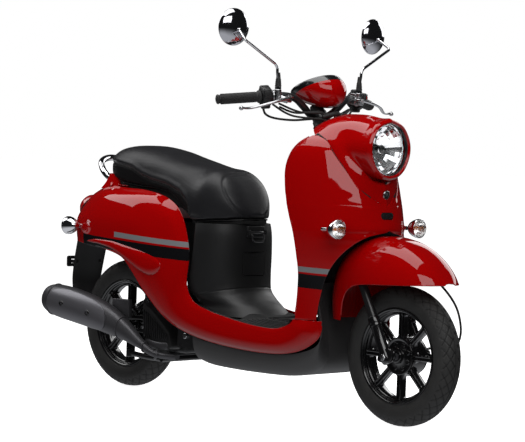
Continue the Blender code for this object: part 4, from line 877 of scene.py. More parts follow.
def cables():
    front = [(0.575, 0.08, 0.433), (0.64, 0.082, 0.436), (0.702, 0.078, 0.402), (0.748, 0.08, 0.35)]
    front += [(0.764, 0.082, 0.285), (0.748, 0.078, 0.238), (0.705, 0.07, 0.212), (0.676, 0.062, 0.206)]
    tube("brake_cable_front", front, 0.0034, RUBBER, "steering", "front_brake_cable", sides=12, count=60)
    throttle = [(0.197, -0.19, 0.914), (0.199, -0.18, 0.895), (0.21, -0.152, 0.884), (0.236, -0.104, 0.88)]
    throttle += [(0.26, -0.062, 0.884), (0.278, -0.034, 0.888), (0.29, -0.02, 0.889)]
    tube("cable_throttle", throttle, 0.0034, RUBBER, "steering", "throttle_cable", sides=12, count=60)
    loose = []
    for side in (-1, 1):
        starts = [(0.222, 0.176, 0.925), (0.232, 0.16, 0.928), (0.226, 0.15, 0.918)]
        sags = [(0.25, 0.118, 0.893), (0.262, 0.1, 0.905), (0.24, 0.096, 0.902)]
        ends = [(0.306, 0.02, 0.88), (0.3, 0.026, 0.9), (0.288, 0.03, 0.905)]
        for start, sag, end in zip(starts, sags, ends):
            foot = (end[0] + 0.004, 0.01, end[2] - 0.045)
            loose.append(
                tube(
                    "loose", [mirror_y(q, side) for q in (start, sag, end, foot)], 0.0032, sides=10,
                    count=40
                )
            )
    low, high = fork_point(0.912), fork_point(0.986)
    length = (high - low).length
    folds = [(0.033, 0.0)]
    for i in range(6):
        at = 0.004 + i * (length - 0.012) / 6
        folds += [(0.0335 - 0.0008 * i, at), (0.03 - 0.0008 * i, at + 0.0055)]
    folds += [(0.0262, length - 0.002), (0.0, length)]
    boot = turned("boot", folds, low, UP, sides=48)
    clip = tube(
        "clip", [(0.3, -0.04, 0.893), (0.318, 0.0, 0.903), (0.3, 0.04, 0.893)], [0.006, 0.008, 0.006],
        sides=12, count=20
    )
    merge("loose_cables_and_boot", [*loose, boot, clip], RUBBER, "steering")


# ---- handlebar and its controls ----------------------------------------------------------------
GRIP_END = V((0.146, 0.335, 0.933))
GRIP_START = V((0.206, 0.212, 0.946))
BAR_AXIS = (GRIP_START - GRIP_END).normalized()
BRACKET_AT = GRIP_START + BAR_AXIS * 0.0446
MIRROR_BASE = V((0.243, 0.176, 0.969))
MIRROR_ELBOW = V((0.244, 0.184, 1.04))
MIRROR_CORNER = V((0.238, 0.316, 1.11))
MIRROR_BALL = V((0.2, 0.303, 1.138))
MIRROR_CENTRE = V((0.186, 0.303, 1.147))
MIRROR_FACING = V((-0.97, -0.1, 0.05)).normalized()
LEVER_PIVOT = V((0.268, 0.15, 0.946))
LEVER_TIP = V((0.2435, 0.326, 0.91))
METER_CENTRE = V((0.226, 0.0, 0.984))
METER_FACING = V((-0.42, 0.0, 0.907)).normalized()
SWITCH_LUMPS = [  # place inboard, rearwards and up from the box's foot; low and high corner; edge radius
    ("pod", (0.01425, 0.022, 0.008), (-0.01225, -0.012, -0.014), (0.01225, 0.01, 0.014), 0.004),
    ("ridge", (0.0143, -0.004, 0.0225), (-0.0125, -0.014, -0.01), (0.0125, 0.014, 0.011), 0.0055),
    ("chin", (0.0143, -0.002, -0.027), (-0.012, -0.015, -0.0095), (0.012, 0.013, 0.01), 0.005),
]


def grip(name, side, body, node):
    end, start = mirror_y(GRIP_END, side), mirror_y(GRIP_START, side)
    length = (start - end).length
    profile = [
        (0.0, 0.0), (0.009, 0.0004), (0.0132, 0.0024), (0.0148, 0.0056), (0.0132, 0.0088), (0.0114, 0.0104),
        (0.0114, 0.0124), (0.015, 0.014)
    ]
    for i in range(26):
        at = 0.016 + i * (length - 0.0335) / 25
        profile += [(0.015, at - 0.0012), (0.0159, at - 0.0004), (0.0159, at + 0.0012), (0.015, at + 0.002)]
    profile += [
        (0.0152, length - 0.011), (0.019, length - 0.0065), (0.0195, length - 0.004),
        (0.019, length - 0.0008)
    ]
    profile += [(0.0118, length), (0.0118, 0.007)]
    turned(name, profile, end, start - end, RUBBER, body, node, sides=64, angle=30)


def pod_frame(side):
    """Where a switch box starts on the bar, and the ways inboard, rearwards and up from it."""
    inboard = mirror_y(BAR_AXIS, side)
    foot = mirror_y(GRIP_START, side) + inboard * 0.001
    up = (V(SKYWARD) - inboard * inboard.z).normalized()
    return foot, inboard, up.cross(inboard) * side, up


def controls():
    grip("grip_throttle_rubber", -1, "throttle", "throttle_grip")
    grip("grip_left_rubber", 1, "steering", "grip_left")
    straight = GRIP_START + BAR_AXIS * 0.06
    bend = [
        straight, V((0.248, 0.112, 0.946)), V((0.252, 0.076, 0.922)), V((0.248, 0.04, 0.898)),
        V((0.246, 0.0, 0.893))
    ]
    half = [GRIP_END + BAR_AXIS * 0.009, GRIP_START] + bend
    path = [mirror_y(p, -1) for p in half] + [mirror_y(p, 1) for p in reversed(half[:-1])]
    bar = tube("bar", path, 0.0109, sides=28, count=160)
    stem = fork_point(0.987)
    clamp = turned(
        "clamp", [(0.0225, 0.0), (0.024, 0.002), (0.024, 0.023), (0.0225, 0.025)], stem, UP, sides=40
    )
    bolt = turned(
        "bolt", [(0.009, 0.0), (0.009, 0.006), (0.0, 0.0065)], stem + AHEAD * 0.022, AHEAD, sides=6,
        angle=20
    )
    merge("handlebar_tube", [bar, clamp, bolt], STEEL, "steering", "handlebar")
    for side, word, button, button_body in (
        (-1, "right", "starter_button", "starter"), (1, "left", "horn_button", "horn")
    ):
        foot, inboard, rear, up = pod_frame(side)
        ring = [
            (0.0122, 0.0), (0.0255, 0.0), (0.029, 0.002), (0.03, 0.0055), (0.03, 0.0128), (0.0292, 0.0134),
            (0.0292, 0.0146)
        ]
        ring += [(0.03, 0.0152), (0.03, 0.0245), (0.0282, 0.0275), (0.0235, 0.0285), (0.0122, 0.0285)]
        box = turned("box", ring, foot, inboard, sides=56, loop=True)
        lumps = []
        for label, place, low, high, soft in SWITCH_LUMPS:
            at = foot + inboard * place[0] + rear * place[1] + up * place[2]
            turn = Matrix.Translation(at) @ Matrix((inboard, rear, up)).transposed().to_4x4()
            lumps.append(block(label, low, high, soft=soft, turn=turn))
        hub = turned(
            "neck", [(0.0122, 0.028), (0.018, 0.0284), (0.0165, 0.033), (0.0122, 0.034)], foot, inboard,
            sides=40, loop=True
        )
        merge("switch_case_" + word, [box, *lumps, hub], BLACK, "steering", "switch_box_" + word)
        face = foot + inboard * 0.014 + rear * 0.032 + up * 0.008
        turned(
            button + "_cap",
            [(0.0058, -0.0024), (0.0058, 0.0016), (0.005, 0.0026), (0.003, 0.0029), (0.0, 0.0024)], face,
            rear, RED_LENS if side > 0 else ENGINE, button_body, button, sides=40
        )
        axis = mirror_y(BAR_AXIS, side)
        at = mirror_y(BRACKET_AT, side) - axis * 0.01
        clamp = turned(
            "clamp",
            [
                (0.0118, 0.0), (0.0165, 0.0), (0.0178, 0.0015), (0.0178, 0.011), (0.0172, 0.0116),
                (0.0172, 0.0124), (0.0178, 0.013), (0.0178, 0.0225), (0.0165, 0.024), (0.0118, 0.024)
            ],
            at, axis, sides=48, loop=True
        )
        pivot = mirror_y(LEVER_PIVOT, side)
        arm_turn = Matrix.Translation(mirror_y(LEVER_PIVOT + V((-0.0115, 0.006, -0.0098)), side))
        arm = block("arm", (-0.016, -0.0115, -0.0042), (0.016, 0.0115, 0.0042), soft=0.0028, turn=arm_turn)
        root = tube(
            "root", [mirror_y(BRACKET_AT, side), pivot + V((-0.008, 0.0, -0.009))], [0.012, 0.009],
            sides=20, count=6
        )
        base = mirror_y(MIRROR_BASE, side)
        boss = turned(
            "boss", [(0.0095, -0.03), (0.0105, -0.024), (0.0105, -0.0012), (0.0095, 0.0)], base, SKYWARD,
            sides=36
        )
        screw = turned(
            "screw", [(0.0044, -0.015), (0.0044, 0.005), (0.0062, 0.0052), (0.0062, 0.0084), (0.0, 0.0094)],
            pivot, SKYWARD, sides=6, angle=20
        )
        merge(
            "lever_perch_" + word, [clamp, arm, root, boss, screw], ALLOY, "steering",
            "lever_bracket_" + word
        )
        tip = mirror_y(LEVER_TIP, side)
        eye = turned(
            "eye",
            [
                (0.0045, -0.0034), (0.0098, -0.0034), (0.011, -0.0022), (0.011, 0.0032), (0.0098, 0.0044),
                (0.0045, 0.0044)
            ],
            pivot, SKYWARD, sides=36, loop=True
        )
        path = [
            pivot + mirror_y((0.0062, 0.0, 0.0005), side), pivot + mirror_y((0.0115, 0.012, -0.0005), side),
            pivot + mirror_y((0.015, 0.034, -0.005), side)
        ]
        path += [
            pivot + mirror_y((0.0115, 0.08, -0.016), side), tip + mirror_y((0.005, -0.04, 0.002), side),
            tip + mirror_y((0.0, -0.004, 0.0), side)
        ]
        blade = tube(
            "blade", path, [0.0066, 0.007, 0.0066, 0.0056, 0.005, 0.0044], sides=18, count=44,
            flatten=((0.15, 0, 1), 0.72)
        )
        knob = turned(
            "knob",
            [
                (0.0, 0.007), (0.0038, 0.006), (0.0062, 0.0036), (0.0071, 0.0), (0.0062, -0.0036),
                (0.0038, -0.006), (0.0, -0.007)
            ],
            tip, SKYWARD, sides=32
        )
        merge("lever_blade_" + word, [eye, blade, knob], ALLOY, "lever_" + word, "brake_lever_" + word)


def mirrors():
    for side, word in SIDES:
        base, elbow, corner, ball = (
            mirror_y(p, side) for p in (MIRROR_BASE, MIRROR_ELBOW, MIRROR_CORNER, MIRROR_BALL)
        )
        facing = mirror_y(MIRROR_FACING, side)
        along = (corner - elbow).normalized()
        tail = (ball - corner).normalized()
        rise = (elbow - base).normalized()
        path = [
            base + V((0, 0, 0.02)), elbow - rise * 0.022, elbow - rise * 0.008, elbow + along * 0.009,
            elbow + along * 0.024
        ]
        path += [
            corner - along * 0.022, corner - along * 0.007, corner + tail * 0.006, corner + tail * 0.016,
            ball
        ]
        stem = tube("stem", path, 0.0042, sides=20, count=110)
        knuckle = turned(
            "knuckle",
            [
                (0.0, 0.0068), (0.0035, 0.0062), (0.0058, 0.0038), (0.0066, 0.0), (0.0058, -0.0038),
                (0.0035, -0.0062), (0.0, -0.0068)
            ],
            ball, facing, sides=32
        )
        nut = turned(
            "nut", [(0.0098, 0.0004), (0.0098, 0.0072), (0.0, 0.0076)], base, SKYWARD, sides=6, angle=20
        )
        merge("mirror_arm_" + word, [stem, knuckle, nut], CHROME, "steering", "mirror_stem_" + word)
        boot = [
            (0.0, 0.0074), (0.0094, 0.0076), (0.0098, 0.012), (0.0088, 0.014), (0.0094, 0.017),
            (0.0084, 0.0195), (0.009, 0.0225), (0.0078, 0.0255)
        ]
        boot += [(0.0084, 0.0285), (0.007, 0.032), (0.006, 0.042), (0.005, 0.05)]
        turned("mirror_boot_" + word, boot, base, SKYWARD, RUBBER, "steering", sides=40, angle=50)
        centre = mirror_y(MIRROR_CENTRE, side)
        dish = [
            (0.0515, 0.0126), (0.0535, 0.0136), (0.0548, 0.0128), (0.0551, 0.0096), (0.0542, 0.0068),
            (0.05, 0.001), (0.04, -0.006), (0.025, -0.0118), (0.012, -0.0142), (0.0, -0.0146)
        ]
        head = turned("head", [(0.0, 0.009), (0.0515, 0.01), *dish], centre, facing, sides=96, angle=50)
        merge("mirror_shell_" + word, [head], MIRROR_BACK, "mirror_" + word, "mirror_head_" + word, 50)
        glass = [(0.0, 0.0128), (0.03, 0.0124), (0.051, 0.0114), (0.0512, 0.01)]
        turned("mirror_glass_" + word, glass, centre, facing, CHROME, "mirror_" + word, sides=96)


METER_SECTIONS = [  # depth below the dial, reach ahead of and behind its middle, half width
    (0.0, 0.073, -0.0735, 0.0715),
    (-0.003, 0.077, -0.0765, 0.0755),
    (0.005, 0.0825, -0.0755, 0.078),
    (0.017, 0.0885, -0.0655, 0.0775),
    (0.0265, 0.0915, -0.056, 0.075),
    (0.038, 0.093, -0.043, 0.0695),
    (0.052, 0.0915, -0.026, 0.061),
    (0.066, 0.086, -0.006, 0.049),
    (0.078, 0.076, 0.014, 0.034),
    (0.085, 0.064, 0.03, 0.019),
    (0.0875, 0.054, 0.042, 0.006),
]


def meter():
    turn = aim(METER_CENTRE, METER_FACING)
    ahead = V((METER_FACING.z, 0.0, -METER_FACING.x))

    def ring(depth, front, rear, half, count=64):
        middle = METER_CENTRE - METER_FACING * depth + ahead * (front + rear) / 2
        reach = (front - rear) / 2
        spins = [2 * pi * i / count for i in range(count)]
        return [middle + ahead * reach * cos(a) + V((0, half * sin(a), 0)) for a in spins]

    shell = [ring(*section) for section in METER_SECTIONS]
    inside = [ring(0.004, 0.069, -0.069, 0.0685), ring(0.012, 0.0685, -0.0685, 0.068)]
    pod = loft("pod", [inside[1], inside[0], *shell[:4]], count=40, angle=60)
    merge("meter_visor", [pod], GLOSS, "steering", (), 60)
    bowl = loft("bowl", shell[3:], count=60, angle=60)
    merge("meter_pod", [bowl], RED, "steering", "meter_housing", 60)
    neck = fork_point(1.01)
    turned(
        "meter_neck", [(0.0215, 0.0), (0.02, 0.01), (0.02, 0.024)], neck, UP, BLACK, "steering", sides=40
    )
    turned(
        "meter_face", [(0.068, -0.0035), (0.068, -0.006)], METER_CENTRE, METER_FACING, BLACK_AND_PAINTED_SHADE, "steering",
        sides=96
    )
    marks = []
    for i in range(25):
        a = radians(-30 + 240 * i / 24)
        size = (0.01, 0.0016) if i % 4 == 0 else (0.005, 0.001)
        spot = turn @ Matrix.Rotation(a, 4, "Z") @ Matrix.Translation((0.058, 0, -0.0033))
        marks.append(
            block(
                "mark", (-size[0] / 2, -size[1] / 2, -0.0002), (size[0] / 2, size[1] / 2, 0.0003),
                soft=0.0001, turn=spot, segments=1
            )
        )
    needle = turn @ Matrix.Rotation(radians(-28), 4, "Z")
    marks.append(
        tube(
            "needle", [needle @ V((-0.01, 0, -0.0022)), needle @ V((0.048, 0, -0.0022))], [0.0016, 0.0006],
            sides=8, count=3
        )
    )
    marks.append(
        turned(
            "needle_hub", [(0.006, -0.0032), (0.0055, -0.001), (0.0, -0.0006)], METER_CENTRE, METER_FACING,
            sides=32
        )
    )
    merge("meter_marks", marks, WHITE_TICKS, "steering")
    dome = [
        (0.0, 0.0038), (0.03, 0.0034), (0.056, 0.0022), (0.0684, 0.001), (0.0684, -0.0002), (0.0, 0.0022)
    ]
    turned("meter_glass", dome, METER_CENTRE, METER_FACING, SMOKED, "steering", sides=96)


# ---- front panels ------------------------------------------------------------------------------
SHIELD_SECTIONS = [  # height, middle of the half ellipse, its depth and half width, angle of the rear edge
    (0.296, 0.3, 0.215, 0.172, 80.0),
    (0.36, 0.306, 0.222, 0.175, 79.0),
    (0.43, 0.312, 0.226, 0.18, 79.0),
    (0.5, 0.312, 0.234, 0.19, 80.0),
    (0.56, 0.306, 0.243, 0.198, 81.0),
    (0.62, 0.297, 0.24, 0.203, 83.0),
    (0.68, 0.29, 0.23, 0.203, 84.0),
    (0.74, 0.285, 0.218, 0.198, 84.0),
    (0.79, 0.283, 0.205, 0.187, 80.0),
    (0.82, 0.284, 0.188, 0.168, 74.0),
    (0.838, 0.285, 0.165, 0.146, 66.0),
]
COWL_EDGE = [
    (0.633, 0.0), (0.64, 0.026), (0.655, 0.047), (0.684, 0.079), (0.74, 0.11), (0.79, 0.128),
    (0.8385, 0.125)
]
ARCH_EDGE = [
    (0.296, 0.15), (0.36, 0.151), (0.43, 0.148), (0.48, 0.137), (0.52, 0.112), (0.548, 0.072), (0.565, 0.0)
]
SHIELD_HEIGHTS = [0.296, 0.36, 0.43, 0.48, 0.52, 0.548, 0.565, 0.598, 0.6325, 0.64, 0.655]
SHIELD_HEIGHTS += [0.684, 0.74, 0.79, 0.82, 0.8375]
SLOT_HEIGHT = 0.608


def table_at(table, at):
    columns = np.array(table).T
    return [float(np.interp(at, columns[0], column)) for column in columns[1:]]


def shield_front(height, y):
    middle, depth, half_width, _ = table_at(SHIELD_SECTIONS, height)
    return V((middle + depth * sqrt(max(0.0, 1 - (y / half_width) ** 2)), y, height))


def leg_shield():
    rows = []
    for height in SHIELD_HEIGHTS:
        middle, depth, half_width, rear_angle = table_at(SHIELD_SECTIONS, height)
        inner = table_at(ARCH_EDGE, height)[0] if height < 0.565 else 0.0
        if height > 0.633:
            inner = table_at(COWL_EDGE, height)[0] + 0.0012
        angles = np.linspace(asin(min(1.0, inner / half_width)), radians(rear_angle), 30)
        rows.append(
            np.stack(
                [middle + depth * np.cos(angles), -half_width * np.sin(angles), np.full(30, height)], axis=1
            )
        )
    grid = smooth_grid(rows, 34, 110)
    grid[:, :, 1] = np.minimum(grid[:, :, 1], 0.0)
    shield = panel("leg_shield_panel", grid, None, None, inside=(0.3, 0, 0.55))
    slot = plate(
        "slot", rounded(0.055, 0.0215, 0.0105), 0.08, forward_facing((0.53, 0, SLOT_HEIGHT)), soft=0.0005
    )
    settle(cut(shield, [slot]), RED_LEG, "chassis", "leg_shield", 50)
    lip = rounded(0.053, 0.0198, 0.0096)
    turn = forward_facing(shield_front(SLOT_HEIGHT, 0.0) + V((-0.0085, 0, 0)))
    insert = plate("insert", lip, 0.012, turn, soft=0.001)
    bars = [
        tube(
            "bar",
            [
                shield_front(SLOT_HEIGHT, 0.0) + V((-0.002, y, -0.007)),
                shield_front(SLOT_HEIGHT, 0.0) + V((-0.002, y, 0.007))
            ],
            0.001, sides=8, count=3
        )
        for y in (-0.018, -0.012, -0.006, 0.0, 0.006, 0.012, 0.018)
    ]
    merge("horn_slot_insert", [insert, *bars], BLACK, "chassis")
    for side, word in SIDES:
        edge = [V((p[0] - 0.0008, side * abs(p[1]) - side * 0.0014, p[2])) for p in grid[2:-1:4, -1]]
        tube("shield_rolled_edge_" + word, edge, 0.003, RED_LEG, "chassis", sides=12, count=110)


COWL_KEYS = [  # angle from the top, edge of the panel, two points between, in order outwards to the lamp
    (0.0, (0.292, 0.0, 0.884), (0.35, 0.0, 0.902), (0.44, 0.0, 0.903)),
    (38.0, (0.304, 0.075, 0.862), (0.35, 0.07, 0.88), (0.43, 0.062, 0.882)),
    (72.0, (0.352, 0.1235, 0.8375), (0.385, 0.11, 0.84), (0.44, 0.092, 0.836)),
    (100.0, (0.405, 0.127, 0.795), (0.432, 0.112, 0.797), (0.462, 0.096, 0.796)),
    (132.0, (0.4665, 0.105, 0.73), (0.484, 0.09, 0.736), (0.494, 0.072, 0.744)),
    (158.0, (0.501, 0.073, 0.678), (0.51, 0.055, 0.69), (0.513, 0.04, 0.708)),
    (180.0, (0.5325, 0.0, 0.634), (0.528, 0.0, 0.67), (0.523, 0.0, 0.7)),
]


def arch_liner():
    """The dark lining over the wheel, and a near-black backing behind the cowl's joint line, painted shade in the
    joint.
    """
    edge = np.array(ARCH_EDGE)
    rows = []
    for y in np.linspace(0.019, 0.14, 24):
        height = float(np.interp(-y, -edge[:, 1], edge[:, 0]))
        front = shield_front(height, y).x - 0.005
        rows.append([(x, -y, height + 0.004) for x in np.linspace(front, 0.352, 12)])
    panel("arch_lining", np.array(rows), BLACK_AND_PAINTED_SHADE, "chassis", inside=(0.45, 0.0, 0.9), thickness=0.002)
    curve = [tuple(p) for p in catmull([(z, y, 0.0) for z, y in COWL_EDGE], 40)]
    for side, word in SIDES:
        path = [shield_front(z, y) + V((-0.007, 0, 0)) for z, y, _ in curve]
        path = [V((p.x - 0.004 * p.y / 0.12, side * (p.y - 0.003 * p.y / 0.12), p.z)) for p in path]
        # painted shade: a near-black tube behind the upper joint line stands in for the shade in the gap
        tube("cowl_joint_painted_shade_" + word, path[14:], 0.0062, BLACK_AND_PAINTED_SHADE, "chassis", sides=12, count=60)
        tube("cowl_foot_backing_" + word, path[:15], 0.0066, RED, "chassis", sides=12, count=40)


def front_cowl():
    rows = []
    for degrees, *points in COWL_KEYS:
        angle = radians(degrees)
        row = [(x, -y, z) for x, y, z in points]
        for radius, x in (
            (0.0915, 0.5), (0.0915, 0.5305), (0.0885, 0.5385), (0.083, 0.543), (0.0785, 0.54),
            (0.0775, 0.536)
        ):
            row.append((x, -radius * sin(angle), LENS_CENTRE.z + radius * cos(angle)))
        rows.append(row)
    grid = smooth_grid(rows, 60, 90)
    grid[:, :, 1] = np.minimum(grid[:, :, 1], 0.0)
    grid[0, :, 1] = 0.0
    grid[-1, :, 1] = 0.0
    panel("cowl_panel", grid, RED, "chassis", "front_cowl", (0.42, 0, 0.78), 0.002)
    ring = [
        (0.0752, 0.001), (0.0765, 0.0045), (0.0782, 0.005), (0.079, 0.002), (0.078, -0.005),
        (0.0752, -0.005)
    ]
    turned(
        "lamp_seat_ring", ring, LENS_CENTRE + V((0.012, 0, 0)), FORWARD, BLACK, "chassis", sides=120,
        loop=True
    )
    at = V((0.5292, 0.0, 0.67))
    out = V((0.96, 0, -0.1)).normalized()
    badge = [
        (0.0, 0.0012), (0.006, 0.0016), (0.0064, 0.0006), (0.0098, 0.0006), (0.0102, 0.0024),
        (0.0124, 0.0026), (0.0134, 0.0016), (0.0136, -0.002)
    ]
    turned("plain_badge", badge, at, out, ALLOY, "chassis", sides=72)
    turned(
        "plain_badge_inlay", [(0.0061, 0.0004), (0.0099, 0.0004), (0.0099, 0.001), (0.0061, 0.001)], at,
        out, BLACK_AND_PAINTED_SHADE, "chassis", sides=72, loop=True
    )
    turned(
        "cowl_screw", [(0.0, 0.0012), (0.003, 0.001), (0.0036, 0.0), (0.0036, -0.002)],
        V((0.528, 0, 0.705)), out, BLACK_AND_PAINTED_SHADE, "chassis", sides=28
    )


def headlight():
    bowl = [
        (0.0, -0.044), (0.016, -0.0435), (0.028, -0.0395), (0.04, -0.0345), (0.051, -0.0265),
        (0.061, -0.0165), (0.069, -0.007), (0.0735, 0.0006)
    ]
    back = [(0.0742, 0.0004), (0.07, -0.014), (0.04, -0.042), (0.016, -0.048), (0.0, -0.049)]
    turned(
        "lamp_reflector", bowl + back, LENS_CENTRE, FORWARD, CHROME, "chassis", "headlight_reflector",
        sides=26, angle=4
    )
    cap = [
        (0.0, -0.01), (0.006, -0.0106), (0.0105, -0.013), (0.012, -0.018), (0.012, -0.034), (0.015, -0.042)
    ]
    turned("lamp_bulb_cap", cap, LENS_CENTRE, FORWARD, ENGINE, "chassis", sides=48)
    band = [(0.0122, -0.018), (0.0132, -0.0184), (0.0132, -0.021), (0.0122, -0.0214)]
    turned("lamp_bulb_band", band, LENS_CENTRE, FORWARD, CHROME, "chassis", sides=48, loop=True)
    dome = [(0.0, 0.0138), (0.025, 0.0122), (0.045, 0.0092), (0.062, 0.0045), (0.0715, 0.0008)]
    outer = [
        (0.0745, 0.0006), (0.0745, 0.004), (0.073, 0.0052), (0.064, 0.0082), (0.048, 0.0122),
        (0.026, 0.0155), (0.0, 0.0165)
    ]
    turned(
        "lamp_lens", dome + outer, LENS_CENTRE, FORWARD, GLASS, "chassis", "headlight_lens", sides=120,
        angle=50
    )


INNER_SECTIONS = [  # height, x on the centre line, x and y of the outer edge
    (0.299, 0.288, 0.322, 0.15),
    (0.36, 0.28, 0.33, 0.152),
    (0.44, 0.276, 0.334, 0.158),
    (0.52, 0.28, 0.334, 0.168),
    (0.6, 0.276, 0.324, 0.178),
    (0.68, 0.266, 0.312, 0.182),
    (0.74, 0.252, 0.308, 0.177),
    (0.785, 0.24, 0.312, 0.16),
    (0.812, 0.228, 0.316, 0.128),
]
KEY_AT = V((0.263, -0.075, 0.7))
POCKET_Y, POCKET_Z = 0.09, 0.645


def inner_shield():
    share = np.linspace(0, 1, 26)
    rows = [
        np.stack([mid + (edge - mid) * share**2.6, -half * share, np.full(26, z)], axis=1)
        for z, mid, edge, half in INNER_SECTIONS
    ]
    inner = panel("inner", smooth_grid(rows, 40, 80), None, None, inside=(0.45, 0, 0.55))
    pocket = plate("pocket", rounded(0.1, 0.09, 0.014), 0.16, forward_facing((0.28, POCKET_Y, POCKET_Z)))
    hole = turned("hole", [(0.0123, -0.04), (0.0123, 0.06)], KEY_AT, FORWARD, sides=48)
    settle(cut(inner, [pocket, hole]), BLACK, "chassis", "inner_shield", 45)
    rings = []
    for x, size in ((0.276, 0.998), (0.33, 0.998 * 0.94), (0.334, 0.998 * 0.9)):
        rings.append([(x, POCKET_Y + a * size, POCKET_Z + b * size) for a, b in rounded(0.1, 0.09, 0.014)])
    liner = loft("liner", rings, caps=False)
    liner.data.flip_normals()
    back = make("back", rings[-1], [tuple(range(len(rings[-1])))])
    merge("pocket_liner", [liner, back], BLACK, "chassis")
    collar = [
        (0.0128, -0.006), (0.0128, 0.003), (0.015, 0.0044), (0.0185, 0.003), (0.02, -0.004), (0.02, -0.01),
        (0.0128, -0.01)
    ]
    turned(
        "key_collar", collar, KEY_AT + V((-0.001, 0, 0)), (-1, 0, 0), BLACK, "chassis", sides=56, loop=True
    )


def ignition_key():
    barrel = turned(
        "barrel", [(0.002, 0.0016), (0.0098, 0.0026), (0.0112, 0.0014), (0.0112, -0.03)], KEY_AT,
        (-1, 0, 0), sides=48
    )
    turn = aim(KEY_AT, (-1, 0, 0)) @ Matrix.Rotation(pi / 2, 4, "Z") @ Matrix.Rotation(pi / 2, 4, "X")
    blade = plate(
        "blade", [(-0.0038, 0.0), (0.0038, 0.0), (0.0038, 0.018), (-0.0038, 0.018)], 0.002, turn,
        soft=0.0003
    )
    merge("key_barrel", [barrel, blade], ALLOY, "key", "ignition_key")
    outline = smooth_outline(
        [
            (-0.0095, 0.014), (0.0, 0.0125), (0.0095, 0.014), (0.0108, 0.023), (0.008, 0.0305),
            (0.0, 0.0318), (-0.008, 0.0305), (-0.0108, 0.023)
        ],
        48
    )
    hole = [(0.0022 * cos(a), 0.027 + 0.0022 * sin(a)) for a in np.linspace(0, 2 * pi, 16, endpoint=False)]
    plate("key_bow", outline, 0.004, turn, BLACK, "key", soft=0.0008, holes=[hole])


# ---- side, tail, belly and floor ---------------------------------------------------------------
BAND_STATIONS = [  # lower edge x, y, z; bulge x, y, z; upper edge x, y, z
    ((-0.768, 0.05, 0.478), (-0.772, 0.05, 0.535), (-0.716, 0.051, 0.603)),
    ((-0.705, 0.122, 0.468), (-0.706, 0.122, 0.545), (-0.652, 0.078, 0.634)),
    ((-0.61, 0.16, 0.46), (-0.6, 0.163, 0.55), (-0.56, 0.104, 0.65)),
    ((-0.51, 0.176, 0.452), (-0.49, 0.181, 0.55), (-0.47, 0.122, 0.648)),
    ((-0.425, 0.18, 0.432), (-0.38, 0.188, 0.54), (-0.36, 0.13, 0.644)),
    ((-0.375, 0.178, 0.39), (-0.295, 0.188, 0.5), (-0.258, 0.134, 0.622)),
    ((-0.335, 0.174, 0.345), (-0.245, 0.185, 0.43), (-0.19, 0.14, 0.572)),
    ((-0.293, 0.168, 0.303), (-0.215, 0.18, 0.36), (-0.142, 0.152, 0.465)),
    ((-0.245, 0.162, 0.262), (-0.185, 0.174, 0.3), (-0.142, 0.158, 0.368)),
    ((-0.185, 0.158, 0.23), (-0.135, 0.171, 0.262), (-0.11, 0.16, 0.316)),
    ((-0.095, 0.156, 0.206), (-0.06, 0.17, 0.24), (-0.045, 0.162, 0.293)),
    ((0.01, 0.156, 0.192), (0.022, 0.17, 0.226), (0.03, 0.163, 0.279)),
    ((0.115, 0.156, 0.185), (0.12, 0.17, 0.218), (0.125, 0.164, 0.266)),
    ((0.205, 0.157, 0.184), (0.206, 0.171, 0.216), (0.206, 0.165, 0.26)),
    ((0.29, 0.158, 0.19), (0.277, 0.172, 0.22), (0.26, 0.166, 0.262)),
    ((0.365, 0.156, 0.21), (0.335, 0.172, 0.24), (0.302, 0.167, 0.274)),
    ((0.418, 0.151, 0.248), (0.372, 0.171, 0.268), (0.322, 0.168, 0.286)),
    ((0.4285, 0.149, 0.295), (0.385, 0.164, 0.295), (0.33, 0.169, 0.2952)),
]


def side_covers():
    rows = []
    for low, bulge, high in BAND_STATIONS:
        low, bulge, high = (V((x, -y, z)) for x, y, z in (low, bulge, high))
        roll = V((0, 0.32 * (bulge.y - high.y), 0))
        rows.append(
            [low, low.lerp(bulge, 0.35) + V((0, -0.004, 0)), bulge, high.lerp(bulge, 0.3) + roll, high]
        )
    right = smooth_grid(rows, 34, 190)
    for side, word in SIDES:
        grid = right * [1, -side, 1]
        panel(
            "band_" + word, grid, RED_SIDE, "chassis", "side_cover_" + word, (0.0, 0.0, 0.45),
            mirrored=False
        )
        low = [V(p) + V((0, -side * 0.0016, 0.0006)) for p in grid[2:-2:3, 0]]
        tube("band_lower_lip_" + word, low, 0.0024, RED_SIDE, "chassis", sides=10, count=180)
        wing(word, side)


WING = [  # x, middle height, half height, how far out
    (-0.61, 0.471, 0.003, 0.164),
    (-0.575, 0.4728, 0.0075, 0.1735),
    (-0.541, 0.4735, 0.0095, 0.18),
    (-0.469, 0.467, 0.015, 0.188),
    (-0.42, 0.454, 0.021, 0.1915),
    (-0.373, 0.44, 0.028, 0.1935),
    (-0.332, 0.427, 0.0345, 0.194),
    (-0.293, 0.418, 0.0365, 0.193),
    (-0.262, 0.415, 0.03, 0.191),
    (-0.243, 0.415, 0.018, 0.188),
    (-0.236, 0.416, 0.005, 0.185),
]


def wing(word, side):
    """The raised trim low on the cover: narrow at the tail, wide and rounded in front."""
    rings = []
    for x, middle, half, out in WING:
        ring = []
        for i in range(28):
            a = 2 * pi * i / 28
            up, along = cos(a), sin(a)
            reach = out - 0.02 + (0.02 * abs(along) ** 0.55 if along > 0 else -0.004 * abs(along))
            ring.append((x, side * reach, middle + half * copysign(abs(up) ** 0.8, up)))
        rings.append(ring)
    loft("wing_trim_" + word, rings, RED, "chassis", count=60, angle=60)


